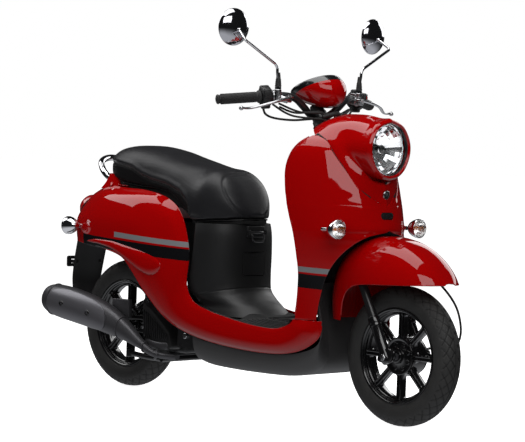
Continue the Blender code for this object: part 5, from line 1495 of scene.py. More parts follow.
def tail():
    keys = [  # edge x, y, z; middle x, z
        ((-0.485, 0.108, 0.654), (-0.5, 0.656)),
        ((-0.56, 0.0965, 0.655), (-0.575, 0.659)),
        ((-0.61, 0.084, 0.65), (-0.622, 0.655)),
        ((-0.655, 0.069, 0.635), (-0.662, 0.641)),
        ((-0.705, 0.048, 0.6115), (-0.708, 0.617)),
        ((-0.742, 0.046, 0.58), (-0.75, 0.585)),
        ((-0.772, 0.046, 0.535), (-0.78, 0.538)),
        ((-0.776, 0.046, 0.48), (-0.786, 0.48)),
    ]
    rows = []
    for (x, y, z), (mid_x, mid_z) in keys:
        share = np.linspace(0, 1, 12)
        rows.append(
            np.stack([mid_x + (x - mid_x) * share**2, -y * share, mid_z + (z - mid_z) * share**2], axis=1)
        )
    panel("tail_panel", smooth_grid(rows, 20, 80), RED_SIDE, "chassis", "tail_cover", (-0.6, 0, 0.5))
    out = V((-0.85, 0.0, 0.52)).normalized()
    at = V((-0.77, 0.0, 0.566))
    dome = [
        (0.0, 0.0455), (0.012, 0.0446), (0.024, 0.0405), (0.034, 0.0325), (0.041, 0.0215), (0.0445, 0.01),
        (0.045, 0.004)
    ]
    turned("tail_lens", dome, at, out, RED_LENS, "chassis", "tail_light", sides=96, angle=50)
    turned(
        "tail_lamp_rim",
        [(0.044, 0.0008), (0.0475, 0.001), (0.048, 0.005), (0.0462, 0.008), (0.0445, 0.006)], at, out,
        CHROME, "chassis", sides=96, loop=True
    )
    path = [
        (-0.578, 0.083, 0.67), (-0.606, 0.085, 0.679), (-0.642, 0.078, 0.702), (-0.673, 0.054, 0.727),
        (-0.69, 0.0, 0.738)
    ]
    rail = [mirror_y(p, -1) for p in path] + [mirror_y(p, 1) for p in reversed(path[:-1])]
    merge(
        "grab_rail_tube", [tube("rail", rail, 0.0103, sides=28, count=110)], CHROME, "chassis", "grab_rail"
    )
    for side, word in SIDES:
        at_end = mirror_y(path[0], side)
        rings = []
        for x_low, x_high, y_low, y_high, z in (
            (-0.626, -0.525, 0.066, 0.102, 0.64), (-0.606, -0.54, 0.072, 0.098, 0.662),
            (-0.592, -0.556, 0.077, 0.094, 0.69)
        ):
            middle_x, middle_y = (x_low + x_high) / 2, side * (y_low + y_high) / 2
            rings.append(
                [(middle_x + a, middle_y + b, z) for a, b in rounded(x_high - x_low, y_high - y_low, 0.008)]
            )
        loft("rail_foot_" + word, rings, RED, "chassis", count=14, angle=60)
        turned(
            "rail_boss_" + word, [(0.02, -0.012), (0.0165, -0.004), (0.013, 0.002)],
            at_end + V((0.0, 0, -0.008)), (-0.35, 0, 0.93), RED, "chassis", sides=40
        )


def signals():
    for side, word in SIDES:
        for prefix, at, facing, root in (
            ("front", (0.49, 0.1765, 0.569), 1, (0.424, 0.16, 0.567)),
            ("rear", (-0.672, 0.176, 0.517), -1, (-0.674, 0.118, 0.516))
        ):
            centre, foot = mirror_y(at, side), mirror_y(root, side)
            shell = [
                (0.0, -0.023), (0.0066, -0.0222), (0.0132, -0.0182), (0.0198, -0.0108), (0.025, -0.001),
                (0.028, 0.008), (0.0292, 0.015), (0.0292, 0.0195)
            ]
            shell += [(0.0282, 0.0208), (0.0268, 0.02), (0.0262, 0.008), (0.016, -0.008), (0.0, -0.015)]
            bullet = turned("bullet", shell, centre, (facing, 0, 0), sides=72, angle=50)
            stalk = tube("stalk", [foot, foot.lerp(centre, 0.6)], [0.0085, 0.0065], sides=24, count=6)
            merge(
                f"{prefix}_signal_shell_{word}", [bullet, stalk], CHROME, "chassis",
                f"{prefix}_signal_{word}", 50
            )
            lens = [
                (0.0, 0.031), (0.011, 0.0302), (0.0198, 0.0274), (0.0252, 0.0228), (0.0266, 0.019),
                (0.0266, 0.016), (0.0247, 0.0165), (0.0187, 0.0242), (0.01, 0.0278), (0.0, 0.0286)
            ]
            turned(
                f"{prefix}_signal_lens_{word}", lens, centre, (facing, 0, 0), SIGNAL_GLASS, "chassis",
                sides=72, angle=50
            )
            bulb = [
                (0.005, -0.009), (0.0054, -0.001), (0.0068, 0.003), (0.007, 0.006), (0.0052, 0.0095),
                (0.0025, 0.0112), (0.0, 0.0116)
            ]
            turned(
                f"{prefix}_signal_bulb_{word}", bulb, centre, (facing, 0, 0), AMBER, "chassis", sides=40,
                angle=50
            )


BELLY_STATIONS = [  # x; lowest z; half width at the bottom; upper edge z and half width
    (-0.124, 0.129, 0.094, 0.205, 0.143),
    (-0.06, 0.119, 0.1, 0.195, 0.15),
    (0.06, 0.115, 0.104, 0.184, 0.151),
    (0.18, 0.115, 0.104, 0.18, 0.152),
    (0.27, 0.118, 0.1, 0.184, 0.152),
    (0.33, 0.128, 0.092, 0.196, 0.15),
    (0.372, 0.15, 0.08, 0.22, 0.146),
    (0.386, 0.19, 0.07, 0.262, 0.141),
    (0.378, 0.25, 0.07, 0.32, 0.139),
    (0.36, 0.33, 0.072, 0.4, 0.137),
    (0.345, 0.4, 0.074, 0.455, 0.134),
]


def belly():
    rows = []
    for x, low, bottom_half, edge_z, edge_half in BELLY_STATIONS:
        lean = max(0.0, x - 0.3) * 0.45
        row = [(x, -bottom_half * share, low) for share in np.linspace(0, 1, 9)[:-1]]
        for t in np.linspace(0, 1, 15):
            y = bottom_half + (edge_half - bottom_half) * sin(t * pi / 2)
            row.append((x + lean * t, -y, low + (edge_z - low) * (1 - cos(t * pi / 2))))
        rows.append(row)
    panel("belly_panel", smooth_grid(rows, 34, 100), BELLY, "chassis", "under_cover", (0.1, 0, 0.4))
    fold = [(0.041, 0.046), (0.038, 0.03), (0.032, 0.016), (0.022, 0.007), (0.01, 0.002), (0.001, 0.0005)]
    strip = [
        [(x, -(half - inwards), z + up) for inwards, up in fold] for x, _, _, z, half in BELLY_STATIONS[:7]
    ]
    # painted shade: a near-black strip closes the gap between the side band and the belly, standing in for the
    # shade there
    panel("sill_gap_painted_shade", smooth_grid(strip, 16, 60), BLACK_AND_PAINTED_SHADE, "chassis", inside=(0.1, 0, 0.9))
    block("keel_web", (-0.112, -0.02, 0.128), (0.32, 0.02, 0.238), BLACK_AND_PAINTED_SHADE, "chassis", soft=0.006)


FLOOR_STATIONS = [  # x, height on the centre line, height and half width of the edge
    (-0.118, 0.3, 0.306, 0.1535),
    (-0.045, 0.284, 0.284, 0.156),
    (0.03, 0.271, 0.27, 0.157),
    (0.125, 0.26, 0.258, 0.158),
    (0.206, 0.253, 0.252, 0.159),
    (0.262, 0.253, 0.254, 0.16),
    (0.296, 0.268, 0.269, 0.16),
    (0.308, 0.292, 0.293, 0.16),
]
HUMP = [  # x and height of the raised middle
    (0.06, 0.29), (0.1, 0.284), (0.13, 0.277), (0.15, 0.2735), (0.235, 0.2718), (0.262, 0.262)
]


def floor_height(x, y):
    """The board: level at the sides, rising to the ramp in the middle in front of the seat."""
    stations = np.array(FLOOR_STATIONS)
    share = np.clip(np.abs(y) / np.interp(x, stations[:, 0], stations[:, 3]), 0, 1)
    middle, edge = np.interp(
        x, stations[:, 0], stations[:, 1]
    ), np.interp(x, stations[:, 0], stations[:, 2])
    level = middle + (edge - middle) * share
    hump = np.array(HUMP)
    over = np.clip(np.interp(x, hump[:, 0], hump[:, 1]) - level, 0, None) * (x > hump[0, 0])
    t = np.clip((np.abs(y) - 0.062) / 0.088, 0, 1)
    return level + over * (1 - t * t * (3 - 2 * t))


def floor_board():
    share = np.linspace(0, 1, 20)
    rows = []
    for x, middle, edge, half in FLOOR_STATIONS:
        rows.append(np.stack([np.full(20, x), -half * share, middle + (edge - middle) * share], axis=1))
    rows[-1][:, 0] -= 0.022 * (1 - (rows[-1][:, 1] / 0.16) ** 2)
    grid = smooth_grid(rows, 60, 120)
    grid[:, :, 2] = np.maximum(grid[:, :, 2], floor_height(grid[:, :, 0], grid[:, :, 1]))
    ribs = [panel("board", grid, None, None, inside=(0.1, 0, 0.0), thickness=0.004)]
    for side in (-1, 1):
        for y in (0.08, 0.089, 0.098, 0.107, 0.116, 0.125, 0.134, 0.143):
            start = -0.035 if y > 0.133 else 0.128 - 1.1 * (y - 0.08)
            path = [
                (x, side * y, float(floor_height(x, y)) + 0.0008) for x in np.linspace(start, 0.268, 24)
            ]
            ribs.append(tube("rib", path, 0.0022, sides=10, count=60))
    for k in range(7):
        x = 0.134 + k * 0.0185
        path = [(x, y, float(floor_height(x, y)) + 0.0006) for y in np.linspace(-0.052, 0.052, 9)]
        ribs.append(tube("mat_rib", path, 0.0017, sides=8, count=16))
    outline = [(0.124, -0.062), (0.256, -0.062), (0.256, 0.062), (0.124, 0.062)]
    for (ax, ay), (bx, by) in zip(outline, outline[1:] + outline[:1]):
        path = [(ax + (bx - ax) * f, ay + (by - ay) * f) for f in np.linspace(0, 1, 24)]
        ribs.append(
            tube(
                "mat_edge", [(x, y, float(floor_height(x, y)) + 0.0004) for x, y in path], 0.0016, sides=8,
                count=40
            )
        )
    merge("foot_board", ribs, BLACK, "chassis", "floor_board")


CENTRE_SECTIONS = [  # height, front x, rear x, half width
    (0.274, 0.122, -0.1, 0.134),
    (0.288, 0.098, -0.102, 0.131),
    (0.306, 0.07, -0.105, 0.128),
    (0.324, 0.034, -0.122, 0.137),
    (0.348, 0.004, -0.14, 0.144),
    (0.39, -0.005, -0.14, 0.147),
    (0.46, -0.007, -0.132, 0.147),
    (0.52, -0.008, -0.13, 0.144),
    (0.554, -0.012, -0.132, 0.138),
]
LID_HEIGHT = 0.4325
RECESS = rounded(0.0955, 0.0745, 0.008)


def centre_cover():
    t = np.linspace(0, pi / 2, 40)
    stations = catmull(CENTRE_SECTIONS, 150)
    grid = np.zeros((150, 40, 3))
    for i, (height, front, rear, half) in enumerate(stations):
        grid[i, :, 0] = rear + (front - rear) * np.cos(t) ** 0.9
        grid[i, :, 1] = -half * np.sin(t) ** 0.9
        grid[i, :, 2] = height
    level = 0.33 + 0.03 * np.clip((grid[:, :, 0] + 0.13) / 0.13, 0, 1)
    groove = 0.0013 * np.exp(-(((grid[:, :, 2] - level) / 0.0016) ** 2))
    grid[:, :, 0] -= groove * (grid[:, :, 0] > -0.1)
    grid[:, :, 1] += groove * (grid[:, :, 1] < -0.02)
    cover = panel("cover", grid, None, None, inside=(0.0, 0, 0.4))
    opening = plate("opening", rounded(0.096, 0.075, 0.008), 0.11, forward_facing((-0.008, 0, LID_HEIGHT)))
    settle(cut(cover, [opening]), BLACK, "chassis", "center_cover", 45)
    lid = plate(
        "lid", rounded(0.093, 0.072, 0.007), 0.0034, forward_facing((-0.0122, 0, LID_HEIGHT)), soft=0.001
    )
    tab = plate(
        "tab", rounded(0.03, 0.0075, 0.0035), 0.0018, forward_facing((-0.0099, 0, 0.46)), soft=0.0006
    )
    merge("filler_lid", [lid, tab], BLACK, "lid", "fuel_lid")
    liner = loft(
        "liner",
        [
            [(x, a * s, LID_HEIGHT + b * s) for a, b in RECESS]
            for x, s in ((-0.015, 1.0), (-0.04, 0.99), (-0.07, 0.97))
        ],
        caps=False
    )
    back = make(
        "back", [(-0.07, a * 0.97, LID_HEIGHT + b * 0.97) for a, b in RECESS], [tuple(range(len(RECESS)))]
    )
    cap = turned(
        "cap", [(0.012, -0.003), (0.015, -0.005), (0.022, -0.006), (0.0235, -0.011), (0.0235, -0.0215)],
        V((-0.046, 0, LID_HEIGHT)), FORWARD, sides=48
    )
    merge("filler_recess_liner", [liner, back, cap], BLACK, "chassis")
    path = [
        (0.001, -0.026, 0.53), (0.006, -0.026, 0.514), (0.0062, -0.022, 0.5045), (0.0062, -0.01, 0.502),
        (0.0062, 0.01, 0.502)
    ]
    path += [(0.0062, 0.022, 0.5045), (0.006, 0.026, 0.514), (0.001, 0.026, 0.53)]
    loop = tube("loop", path, 0.0031, sides=16, count=60)
    bar = turned(
        "bar", [(0.0035, -0.03), (0.0042, -0.0285), (0.0042, 0.0285), (0.0035, 0.03)], V((0.001, 0, 0.53)),
        ACROSS, sides=24
    )
    merge("hook_loop_wire", [loop, bar], STEEL, "hook", "bag_hook")
    mount = [block("mount", (-0.02, -0.037, 0.514), (-0.0045, 0.037, 0.55), soft=0.0035)]
    mount += [
        block("ear", (-0.01, s * 0.0342 - 0.003, 0.522), (0.0065, s * 0.0342 + 0.003, 0.538), soft=0.0018)
        for s in (-1, 1)
    ]
    merge("hook_mount", mount, BLACK, "chassis")


def seat_gap_painted_shade():
    """A near-black wall that closes the gap between the body and the seat when the seat is down: painted shade in
    that gap.
    """
    rows = []
    for x, half, _, low in SEAT_STATIONS[1:-1]:
        top, foot = low - 0.0048, min(0.6, low - 0.016)
        rows.append(
            [(x, -(half - 0.024), foot), (x, -(half - 0.024), (top + foot) / 2), (x, -(half - 0.024), top)]
        )
    rows.append([(-0.006, 0.0, 0.552), (-0.006, 0.0, 0.56), (-0.006, 0.0, 0.566)])
    panel("seat_gap_painted_shade", smooth_grid(rows, 8, 120), BLACK_AND_PAINTED_SHADE, "chassis", inside=(-0.3, 0, 0.6), thickness=0.002)


def mudguard():
    outer = catmull([(-0.775, 0, 0.474), (-0.792, 0, 0.4), (-0.803, 0, 0.33), (-0.797, 0, 0.272)], 30)
    share = np.linspace(0, 1, 14)
    grid = np.zeros((30, 14, 3))
    for i, (x, _, z) in enumerate(outer):
        half = 0.066 - 0.01 * (i / 29) ** 2
        grid[i, :, 0] = x + 0.006 * share**4
        grid[i, :, 1] = -half * share
        grid[i, :, 2] = z
    guard = panel("guard", grid, None, None, inside=(-0.5, 0, 0.4), thickness=0.005)
    turn = forward_facing((-0.8212, 0, 0.39))
    slots = [
        [(x + 0.04, y) for x, y in rounded(0.022, 0.014, 0.005)],
        [(x - 0.04, y) for x, y in rounded(0.022, 0.014, 0.005)], rounded(0.034, 0.02, 0.005)
    ]
    face = plate("face", rounded(0.131, 0.0358, 0.006), 0.0052, turn, soft=0.0012, holes=slots)
    arms = [
        block("arm", (-0.82, s * 0.05 - 0.005, 0.3845), (-0.784, s * 0.05 + 0.005, 0.3955), soft=0.002)
        for s in (-1, 1)
    ]
    rib = [
        tube("rib", [(x - 0.0015, y, z) for x, _, z in outer[2:-2:4]], 0.0026, sides=10, count=40)
        for y in (-0.034, 0.034)
    ]
    merge("rear_guard_and_plate_holder", [guard, face, *arms, *rib], BLACK, "chassis", "rear_mudguard", 45)
    turned(
        "rear_reflector", [(0.018, 0.0), (0.018, 0.0055), (0.015, 0.0075), (0.0, 0.008)],
        V((-0.7935, 0, 0.435)), (-0.97, 0, 0.22), RED_LENS, "chassis", sides=56
    )


# ---- seat --------------------------------------------------------------------------------------
SEAT_STATIONS = [  # x, half width, top, lower edge
    (-0.636, 0.03, 0.734, 0.708),
    (-0.612, 0.075, 0.757, 0.694),
    (-0.56, 0.108, 0.775, 0.676),
    (-0.48, 0.126, 0.78, 0.663),
    (-0.39, 0.134, 0.768, 0.657),
    (-0.31, 0.138, 0.749, 0.653),
    (-0.245, 0.14, 0.735, 0.635),
    (-0.2, 0.141, 0.727, 0.602),
    (-0.155, 0.142, 0.72, 0.563),
    (-0.118, 0.14, 0.716, 0.563),
    (-0.086, 0.129, 0.703, 0.565),
    (-0.058, 0.114, 0.684, 0.567),
    (-0.034, 0.096, 0.655, 0.569),
    (-0.012, 0.07, 0.618, 0.572),
    (0.004, 0.03, 0.59, 0.576),
]
SEAM = [
    (-0.64, 0.727), (-0.56, 0.726), (-0.452, 0.711), (-0.403, 0.69), (-0.356, 0.678), (-0.286, 0.667),
    (-0.216, 0.645)
]
SEAM += [(-0.18, 0.618), (-0.169, 0.6), (-0.16, 0.56), (0.02, 0.54)]


def seam_height(x):
    columns = np.array(SEAM).T
    return np.interp(x, columns[0], columns[1])


def swell(obj, reach):
    """Cloth pressure blows the pad up from a slightly smaller shape; no point moves further than reach."""
    before = np.array([v.co for v in obj.data.vertices])
    cloth = obj.modifiers.new("stuffing", "CLOTH")
    cloth.settings.use_pressure = True
    cloth.settings.uniform_pressure_force = 4.0
    cloth.settings.effector_weights.gravity = 0.0
    cloth.settings.tension_stiffness = 18.0
    cloth.settings.compression_stiffness = 18.0
    cloth.settings.bending_stiffness = 1.0
    cloth.settings.quality = 5
    scene = bpy.context.scene
    for number in range(1, 21):
        scene.frame_set(number)
    graph = bpy.context.evaluated_depsgraph_get()
    after = np.array([v.co for v in obj.evaluated_get(graph).data.vertices])
    obj.modifiers.remove(cloth)
    scene.frame_set(1)
    move = after - before
    size = np.linalg.norm(move, axis=1)[:, None]
    move *= np.minimum(1.0, reach / np.maximum(size, 1e-9))
    ends = np.array([edge.vertices[:] for edge in obj.data.edges])
    neighbours = np.bincount(ends.ravel(), minlength=len(move))[:, None]
    for _ in range(80):  # the foam evens out the wrinkles
        around = np.zeros_like(move)
        np.add.at(around, ends[:, 0], move[ends[:, 1]])
        np.add.at(around, ends[:, 1], move[ends[:, 0]])
        move = 0.5 * move + 0.5 * around / neighbours
    for vertex, at in zip(obj.data.vertices, before + move):
        vertex.co = at
    return obj


def applied(obj):
    """Makes a piece's modifiers part of its mesh."""
    bpy.context.view_layer.update()
    obj.data = bpy.data.meshes.new_from_object(obj.evaluated_get(bpy.context.evaluated_depsgraph_get()))
    obj.modifiers.clear()


def seat_pad():
    """The even skin of the pad, a little smaller than the seat, blown up to its size."""
    inset = 0.0045
    rings = []
    for x, half, top, low in catmull(SEAT_STATIONS, 60):
        t = np.linspace(0, pi, 41)
        y = (half - inset) * np.sign(np.cos(t)) * abs(np.cos(t)) ** 0.55
        z = low + 0.001 + (top - low - inset) * np.sin(t) ** 0.62
        rings.append(np.stack([np.full(41, x * 0.99 - 0.003), y, z], axis=1))
    obj = loft("seat_cushion_cover", rings, angle=80)
    remesh = obj.modifiers.new("skin", "REMESH")
    remesh.mode = "VOXEL"
    remesh.voxel_size = 0.005
    applied(obj)
    swell(obj, 0.0075)
    subdivide = obj.modifiers.new("fine", "SUBSURF")
    subdivide.levels = subdivide.render_levels = 1
    applied(obj)
    return obj


def press_seams(mesh):
    """Grooves along the side seams and over the nose, with a soft roll above them, and a level foot."""
    co = np.zeros(len(mesh.vertices) * 3)
    normal = np.zeros_like(co)
    mesh.vertices.foreach_get("co", co)
    mesh.vertices.foreach_get("normal", normal)
    co, normal = co.reshape(-1, 3), normal.reshape(-1, 3)
    stations = np.array(SEAT_STATIONS).T
    floor_level = np.interp(co[:, 0], stations[0], stations[3])
    on_side = np.clip((abs(normal[:, 1]) + abs(normal[:, 0]) - 0.25) / 0.3, 0, 1)
    off = co[:, 2] - seam_height(co[:, 0])
    groove = np.exp(-((off / 0.0042) ** 2)) * on_side
    roll = 0.0035 * np.exp(-(((off - 0.012) / 0.01) ** 2)) * on_side
    upright = np.exp(-(((co[:, 0] + 0.086 - 0.6 * (0.703 - co[:, 2])) / 0.0034) ** 2)) * (off > 0.0)
    push = -0.0034 * groove + roll - 0.0022 * upright
    co += normal * push[:, None]
    low = floor_level + 0.0004
    co[:, 2] = np.where(co[:, 2] < low, low + (co[:, 2] - low) * 0.15, co[:, 2])
    mesh.vertices.foreach_set("co", co.reshape(-1))
    mesh.update()


def seat():
    obj = seat_pad()
    mesh = obj.data
    press_seams(mesh)
    settle(obj, VINYL, "seat", "seat_cushion", 80)
    # the faces below the seam take the darker vinyl, painted shade on the seat's sides
    mesh.materials.append(VINYL_SIDE_PAINTED_SHADE)
    for polygon in mesh.polygons:
        at = polygon.center
        polygon.material_index = int(at.z < seam_height(at.x) and abs(polygon.normal.z) < 0.97)
    seat_thread(obj)


def seat_thread(obj):
    """Piping along the seams and the stitches above it, laid on the pad's surface."""
    tree = BVHTree.FromObject(obj, bpy.context.evaluated_depsgraph_get())
    for side, word in SIDES:
        piping = []
        for x in [*np.linspace(-0.61, -0.185, 40), *np.linspace(-0.183, -0.1612, 12)]:
            hit = tree.ray_cast(V((x, side * 0.25, float(seam_height(x)))), V((0, -side, 0)))[0]
            if hit:
                piping.append(hit + V((0, side * 0.0004, 0)))
        tube("seat_piping_" + word, piping, 0.0017, THREAD, "seat", sides=8, count=200)
        stitches = []
        for x in np.linspace(-0.6, -0.19, 90):
            level = float(seam_height(x)) + 0.0075
            ends = [
                tree.ray_cast(V((x + d, side * 0.25, level)), V((0, -side, 0)))[0]
                for d in (-0.0015, 0.0015)
            ]
            if all(ends):
                stitches.append(
                    tube("stitch", [e + V((0, side * 0.0001, 0)) for e in ends], 0.0006, sides=6, count=3)
                )
        merge("seat_stitches_" + word, stitches, THREAD, "seat")


# ---- swing unit and exhaust --------------------------------------------------------------------
MUFFLER_AXIS = [  # x, y, z, half height, half width
    (-0.795, -0.17, 0.278, 0.02, 0.018),
    (-0.778, -0.17, 0.276, 0.043, 0.036),
    (-0.73, -0.17, 0.27, 0.054, 0.044),
    (-0.64, -0.169, 0.259, 0.055, 0.046),
    (-0.54, -0.166, 0.24, 0.051, 0.043),
    (-0.46, -0.163, 0.216, 0.042, 0.036),
    (-0.4, -0.158, 0.19, 0.03, 0.027),
    (-0.35, -0.15, 0.16, 0.018, 0.017),
    (-0.305, -0.128, 0.131, 0.012, 0.012),
    (-0.262, -0.075, 0.122, 0.011, 0.011),
]


def muffler():
    tilt = V((0.18, 0, 1)).normalized()

    def ring(x, y, z, height, width, start=0.0, stop=2 * pi, count=64, grow=0.0):
        turns = np.linspace(start, stop, count, endpoint=stop < 2 * pi)
        return [
            V((x, y, z)) + tilt * ((height + grow) * cos(a)) + V((0, (width + grow) * sin(a), 0))
            for a in turns
        ]

    stations = catmull(MUFFLER_AXIS, 90)
    body = loft("can", [ring(*s, grow=-0.0016) for s in stations], angle=50)
    tip = turned(
        "tip", [(0.0105, 0.0), (0.0105, 0.018), (0.0125, 0.018), (0.0125, -0.01)],
        V((-0.786, -0.166, 0.262)), (-1, 0, -0.05), sides=36
    )
    bands = []
    for x, grow in ((-0.748, 0.0006), (-0.43, 0.001), (-0.338, 0.0022)):
        i = int(np.argmin(abs(stations[:, 0] - x)))
        around = ring(*stations[i], grow=grow - 0.0016)
        bands.append(tube("band", [*around, around[0]], 0.0022, sides=8))
    flange = turned(
        "flange", [(0.017, -0.004), (0.018, 0.0), (0.017, 0.004)], V((-0.305, -0.128, 0.131)),
        (0.6, 0.75, -0.2), sides=36
    )
    bracket = block("bracket", (-0.52, -0.128, 0.232), (-0.44, -0.112, 0.292), soft=0.003)
    merge("silencer", [body, tip, flange, bracket, *bands], SATIN, "swing", "muffler", 40)
    grid = []
    for s in stations[(stations[:, 0] > -0.745) & (stations[:, 0] < -0.47)]:
        share = (s[0] + 0.745) / 0.275
        spread = 1.02 * sqrt(max(0.02, 1 - (2 * share - 1) ** 4)) + 0.02
        grid.append([tuple(p) for p in ring(*s, pi * 1.5 - spread, pi * 1.5 + spread, 40, 0.0026)])
    panel(
        "heat_cover", np.array(grid), SHIELD, "swing", (), (-0.6, -0.16, 0.25), 0.0036, mirrored=False,
        edge=0.0012
    )
    for x, number in ((-0.665, 1), (-0.545, 2)):
        i = int(np.argmin(abs(stations[:, 0] - x)))
        sx, sy, sz, height, width = stations[i]
        at = V((sx, sy - width - 0.0022, sz + 0.004))
        cup = [
            (0.003, -0.0004), (0.0036, 0.0012), (0.0052, 0.0012), (0.006, 0.0004), (0.0076, 0.001),
            (0.009, 0.0016), (0.0098, 0.0004), (0.0098, -0.002)
        ]
        turned(f"heat_cover_bolt_{number}", cup, at, (0, -1, 0), GLOSS, "swing", sides=36)


def engine():
    parts = [block("case", (-0.34, -0.062, 0.135), (-0.238, 0.052, 0.262), soft=0.012)]
    outline = []
    for centre_x, centre_z, radius, start, stop in (
        (-0.3, 0.212, 0.078, -90, 90), (REAR_AXLE.x + 0.004, REAR_AXLE.z + 0.006, 0.066, 90, 270)
    ):
        for a in np.radians(np.linspace(start, stop, 30)):
            outline.append((centre_x + radius * cos(a), centre_z + radius * sin(a)))
    turn = side_facing((0, 0.0828, 0))
    parts.append(plate("drive", outline, 0.07, turn, soft=0.006))
    inner = [(-0.4305 + (x + 0.4305) * 0.86, 0.213 + (z - 0.213) * 0.78) for x, z in outline]
    parts.append(plate("drive_face", inner, 0.006, side_facing((0, 0.1165, 0)), soft=0.0024))
    for k in range(7):
        x = -0.52 + k * 0.026
        parts.append(
            tube("fin", [(x, 0.117, 0.165 + k * 0.001), (x + 0.016, 0.118, 0.25)], 0.0022, sides=8, count=4)
        )
    for a in np.linspace(0, 2 * pi, 11, endpoint=False):
        at = V((-0.4305 + 0.188 * cos(a), 0.1168, 0.213 + 0.062 * sin(a)))
        parts.append(turned("screw", [(0.0052, 0.0), (0.0052, 0.0016), (0.0, 0.002)], at, ACROSS, sides=20))
    parts.append(
        turned(
            "lug",
            [
                (0.0074, -0.04), (0.018, -0.04), (0.0188, -0.038), (0.0188, 0.038), (0.018, 0.04),
                (0.0074, 0.04)
            ],
            SWING_PIVOT, ACROSS, sides=40, loop=True
        )
    )
    parts.append(block("bridge", (-0.262, -0.036, 0.16), (-0.212, 0.036, 0.196), soft=0.005))
    parts.append(turned("axle", [(0.007, -0.062), (0.007, 0.052)], REAR_AXLE, ACROSS, sides=28))
    for k in range(7):
        x = -0.256 + k * 0.0115
        parts.append(block("fin", (x, -0.045, 0.217), (x + 0.0045, 0.045, 0.291), soft=0.001))
    parts.append(block("barrel", (-0.258, -0.034, 0.215), (-0.184, 0.034, 0.284), soft=0.006))
    parts.append(block("ear", (-0.598, 0.082, 0.262), (-0.57, 0.098, 0.315), soft=0.004))
    parts.append(block("stand_lug", (-0.33, -0.05, 0.122), (-0.3, 0.05, 0.142), soft=0.003))
    merge("power_unit", parts, ENGINE, "swing", "engine_unit")
    parts = [block("box", (-0.52, 0.058, 0.281), (-0.345, 0.118, 0.334), soft=0.012)]
    for k in range(5):
        parts.append(
            tube(
                "rib", [(-0.5 + k * 0.034, 0.1172, 0.292), (-0.5 + k * 0.034, 0.1178, 0.322)], 0.0018,
                sides=8, count=3
            )
        )
    merge("air_box_case", parts, BLACK, "swing")
    arm = [(-0.59, 0.19), (-0.59, 0.228), (-0.43, 0.242), (-0.33, 0.236), (-0.33, 0.16), (-0.43, 0.182)]
    hole = [smooth_outline([(-0.54, 0.203), (-0.54, 0.216), (-0.45, 0.224), (-0.45, 0.196)], 30)]
    parts = [plate("arm", arm, 0.012, side_facing((0, -0.054, 0)), soft=0.002, holes=hole)]
    at = REAR_AXLE + V((0, -0.06 - REAR_AXLE.y, 0))
    parts.append(turned("washer", [(0.014, 0.0), (0.014, 0.0022), (0.0, 0.0024)], at, (0, -1, 0), sides=36))
    parts.append(
        turned(
            "nut", [(0.0115, 0.002), (0.0115, 0.01), (0.0099, 0.0112), (0.0, 0.0115)], at, (0, -1, 0),
            sides=6, angle=20
        )
    )
    parts.append(
        turned("stub", [(0.0066, 0.01), (0.0066, 0.0146), (0.0, 0.0154)], at, (0, -1, 0), sides=24)
    )
    merge("right_swing_arm", parts, GLOSS, "swing")


def fan_cover():
    """The scoop over the fan: a domed cover with curved upright vanes and a smooth lip below."""
    outline = smooth_outline(
        [
            (-0.386, 0.286), (-0.362, 0.276), (-0.318, 0.248), (-0.268, 0.206), (-0.252, 0.176),
            (-0.2535, 0.152), (-0.285, 0.1475), (-0.34, 0.1472), (-0.364, 0.152), (-0.38, 0.19),
            (-0.386, 0.24)
        ],
        90
    )
    parts = [plate("dish", outline, 0.052, side_facing((0, -0.09, 0)), soft=0.006)]
    for k in range(13):
        x = -0.374 + k * 0.0088
        top = float(np.interp(x, [-0.386, -0.33, -0.262], [0.275, 0.248, 0.196])) - 0.004
        low = 0.176
        if top - low < 0.01:
            continue
        path = [
            (x - 0.004 + 0.006 * sin(t * pi), -0.117 - 0.0036 * sin(t * pi), low + (top - low) * t)
            for t in np.linspace(0, 1, 7)
        ]
        parts.append(tube("vane", path, 0.0021, sides=10, count=24, flatten=(FORWARD, 0.6)))
    merge("fan_scoop", parts, ENGINE, "swing", "radiator_cover")
    lip = catmull(
        [(-0.374, -0.11, 0.166), (-0.34, -0.118, 0.16), (-0.3, -0.119, 0.157), (-0.266, -0.114, 0.158)], 30
    )
    tube(
        "fan_scoop_lip", lip, [0.008] + [0.0118] * 28 + [0.008], SATIN, "swing", sides=24,
        flatten=(ACROSS, 0.35)
    )


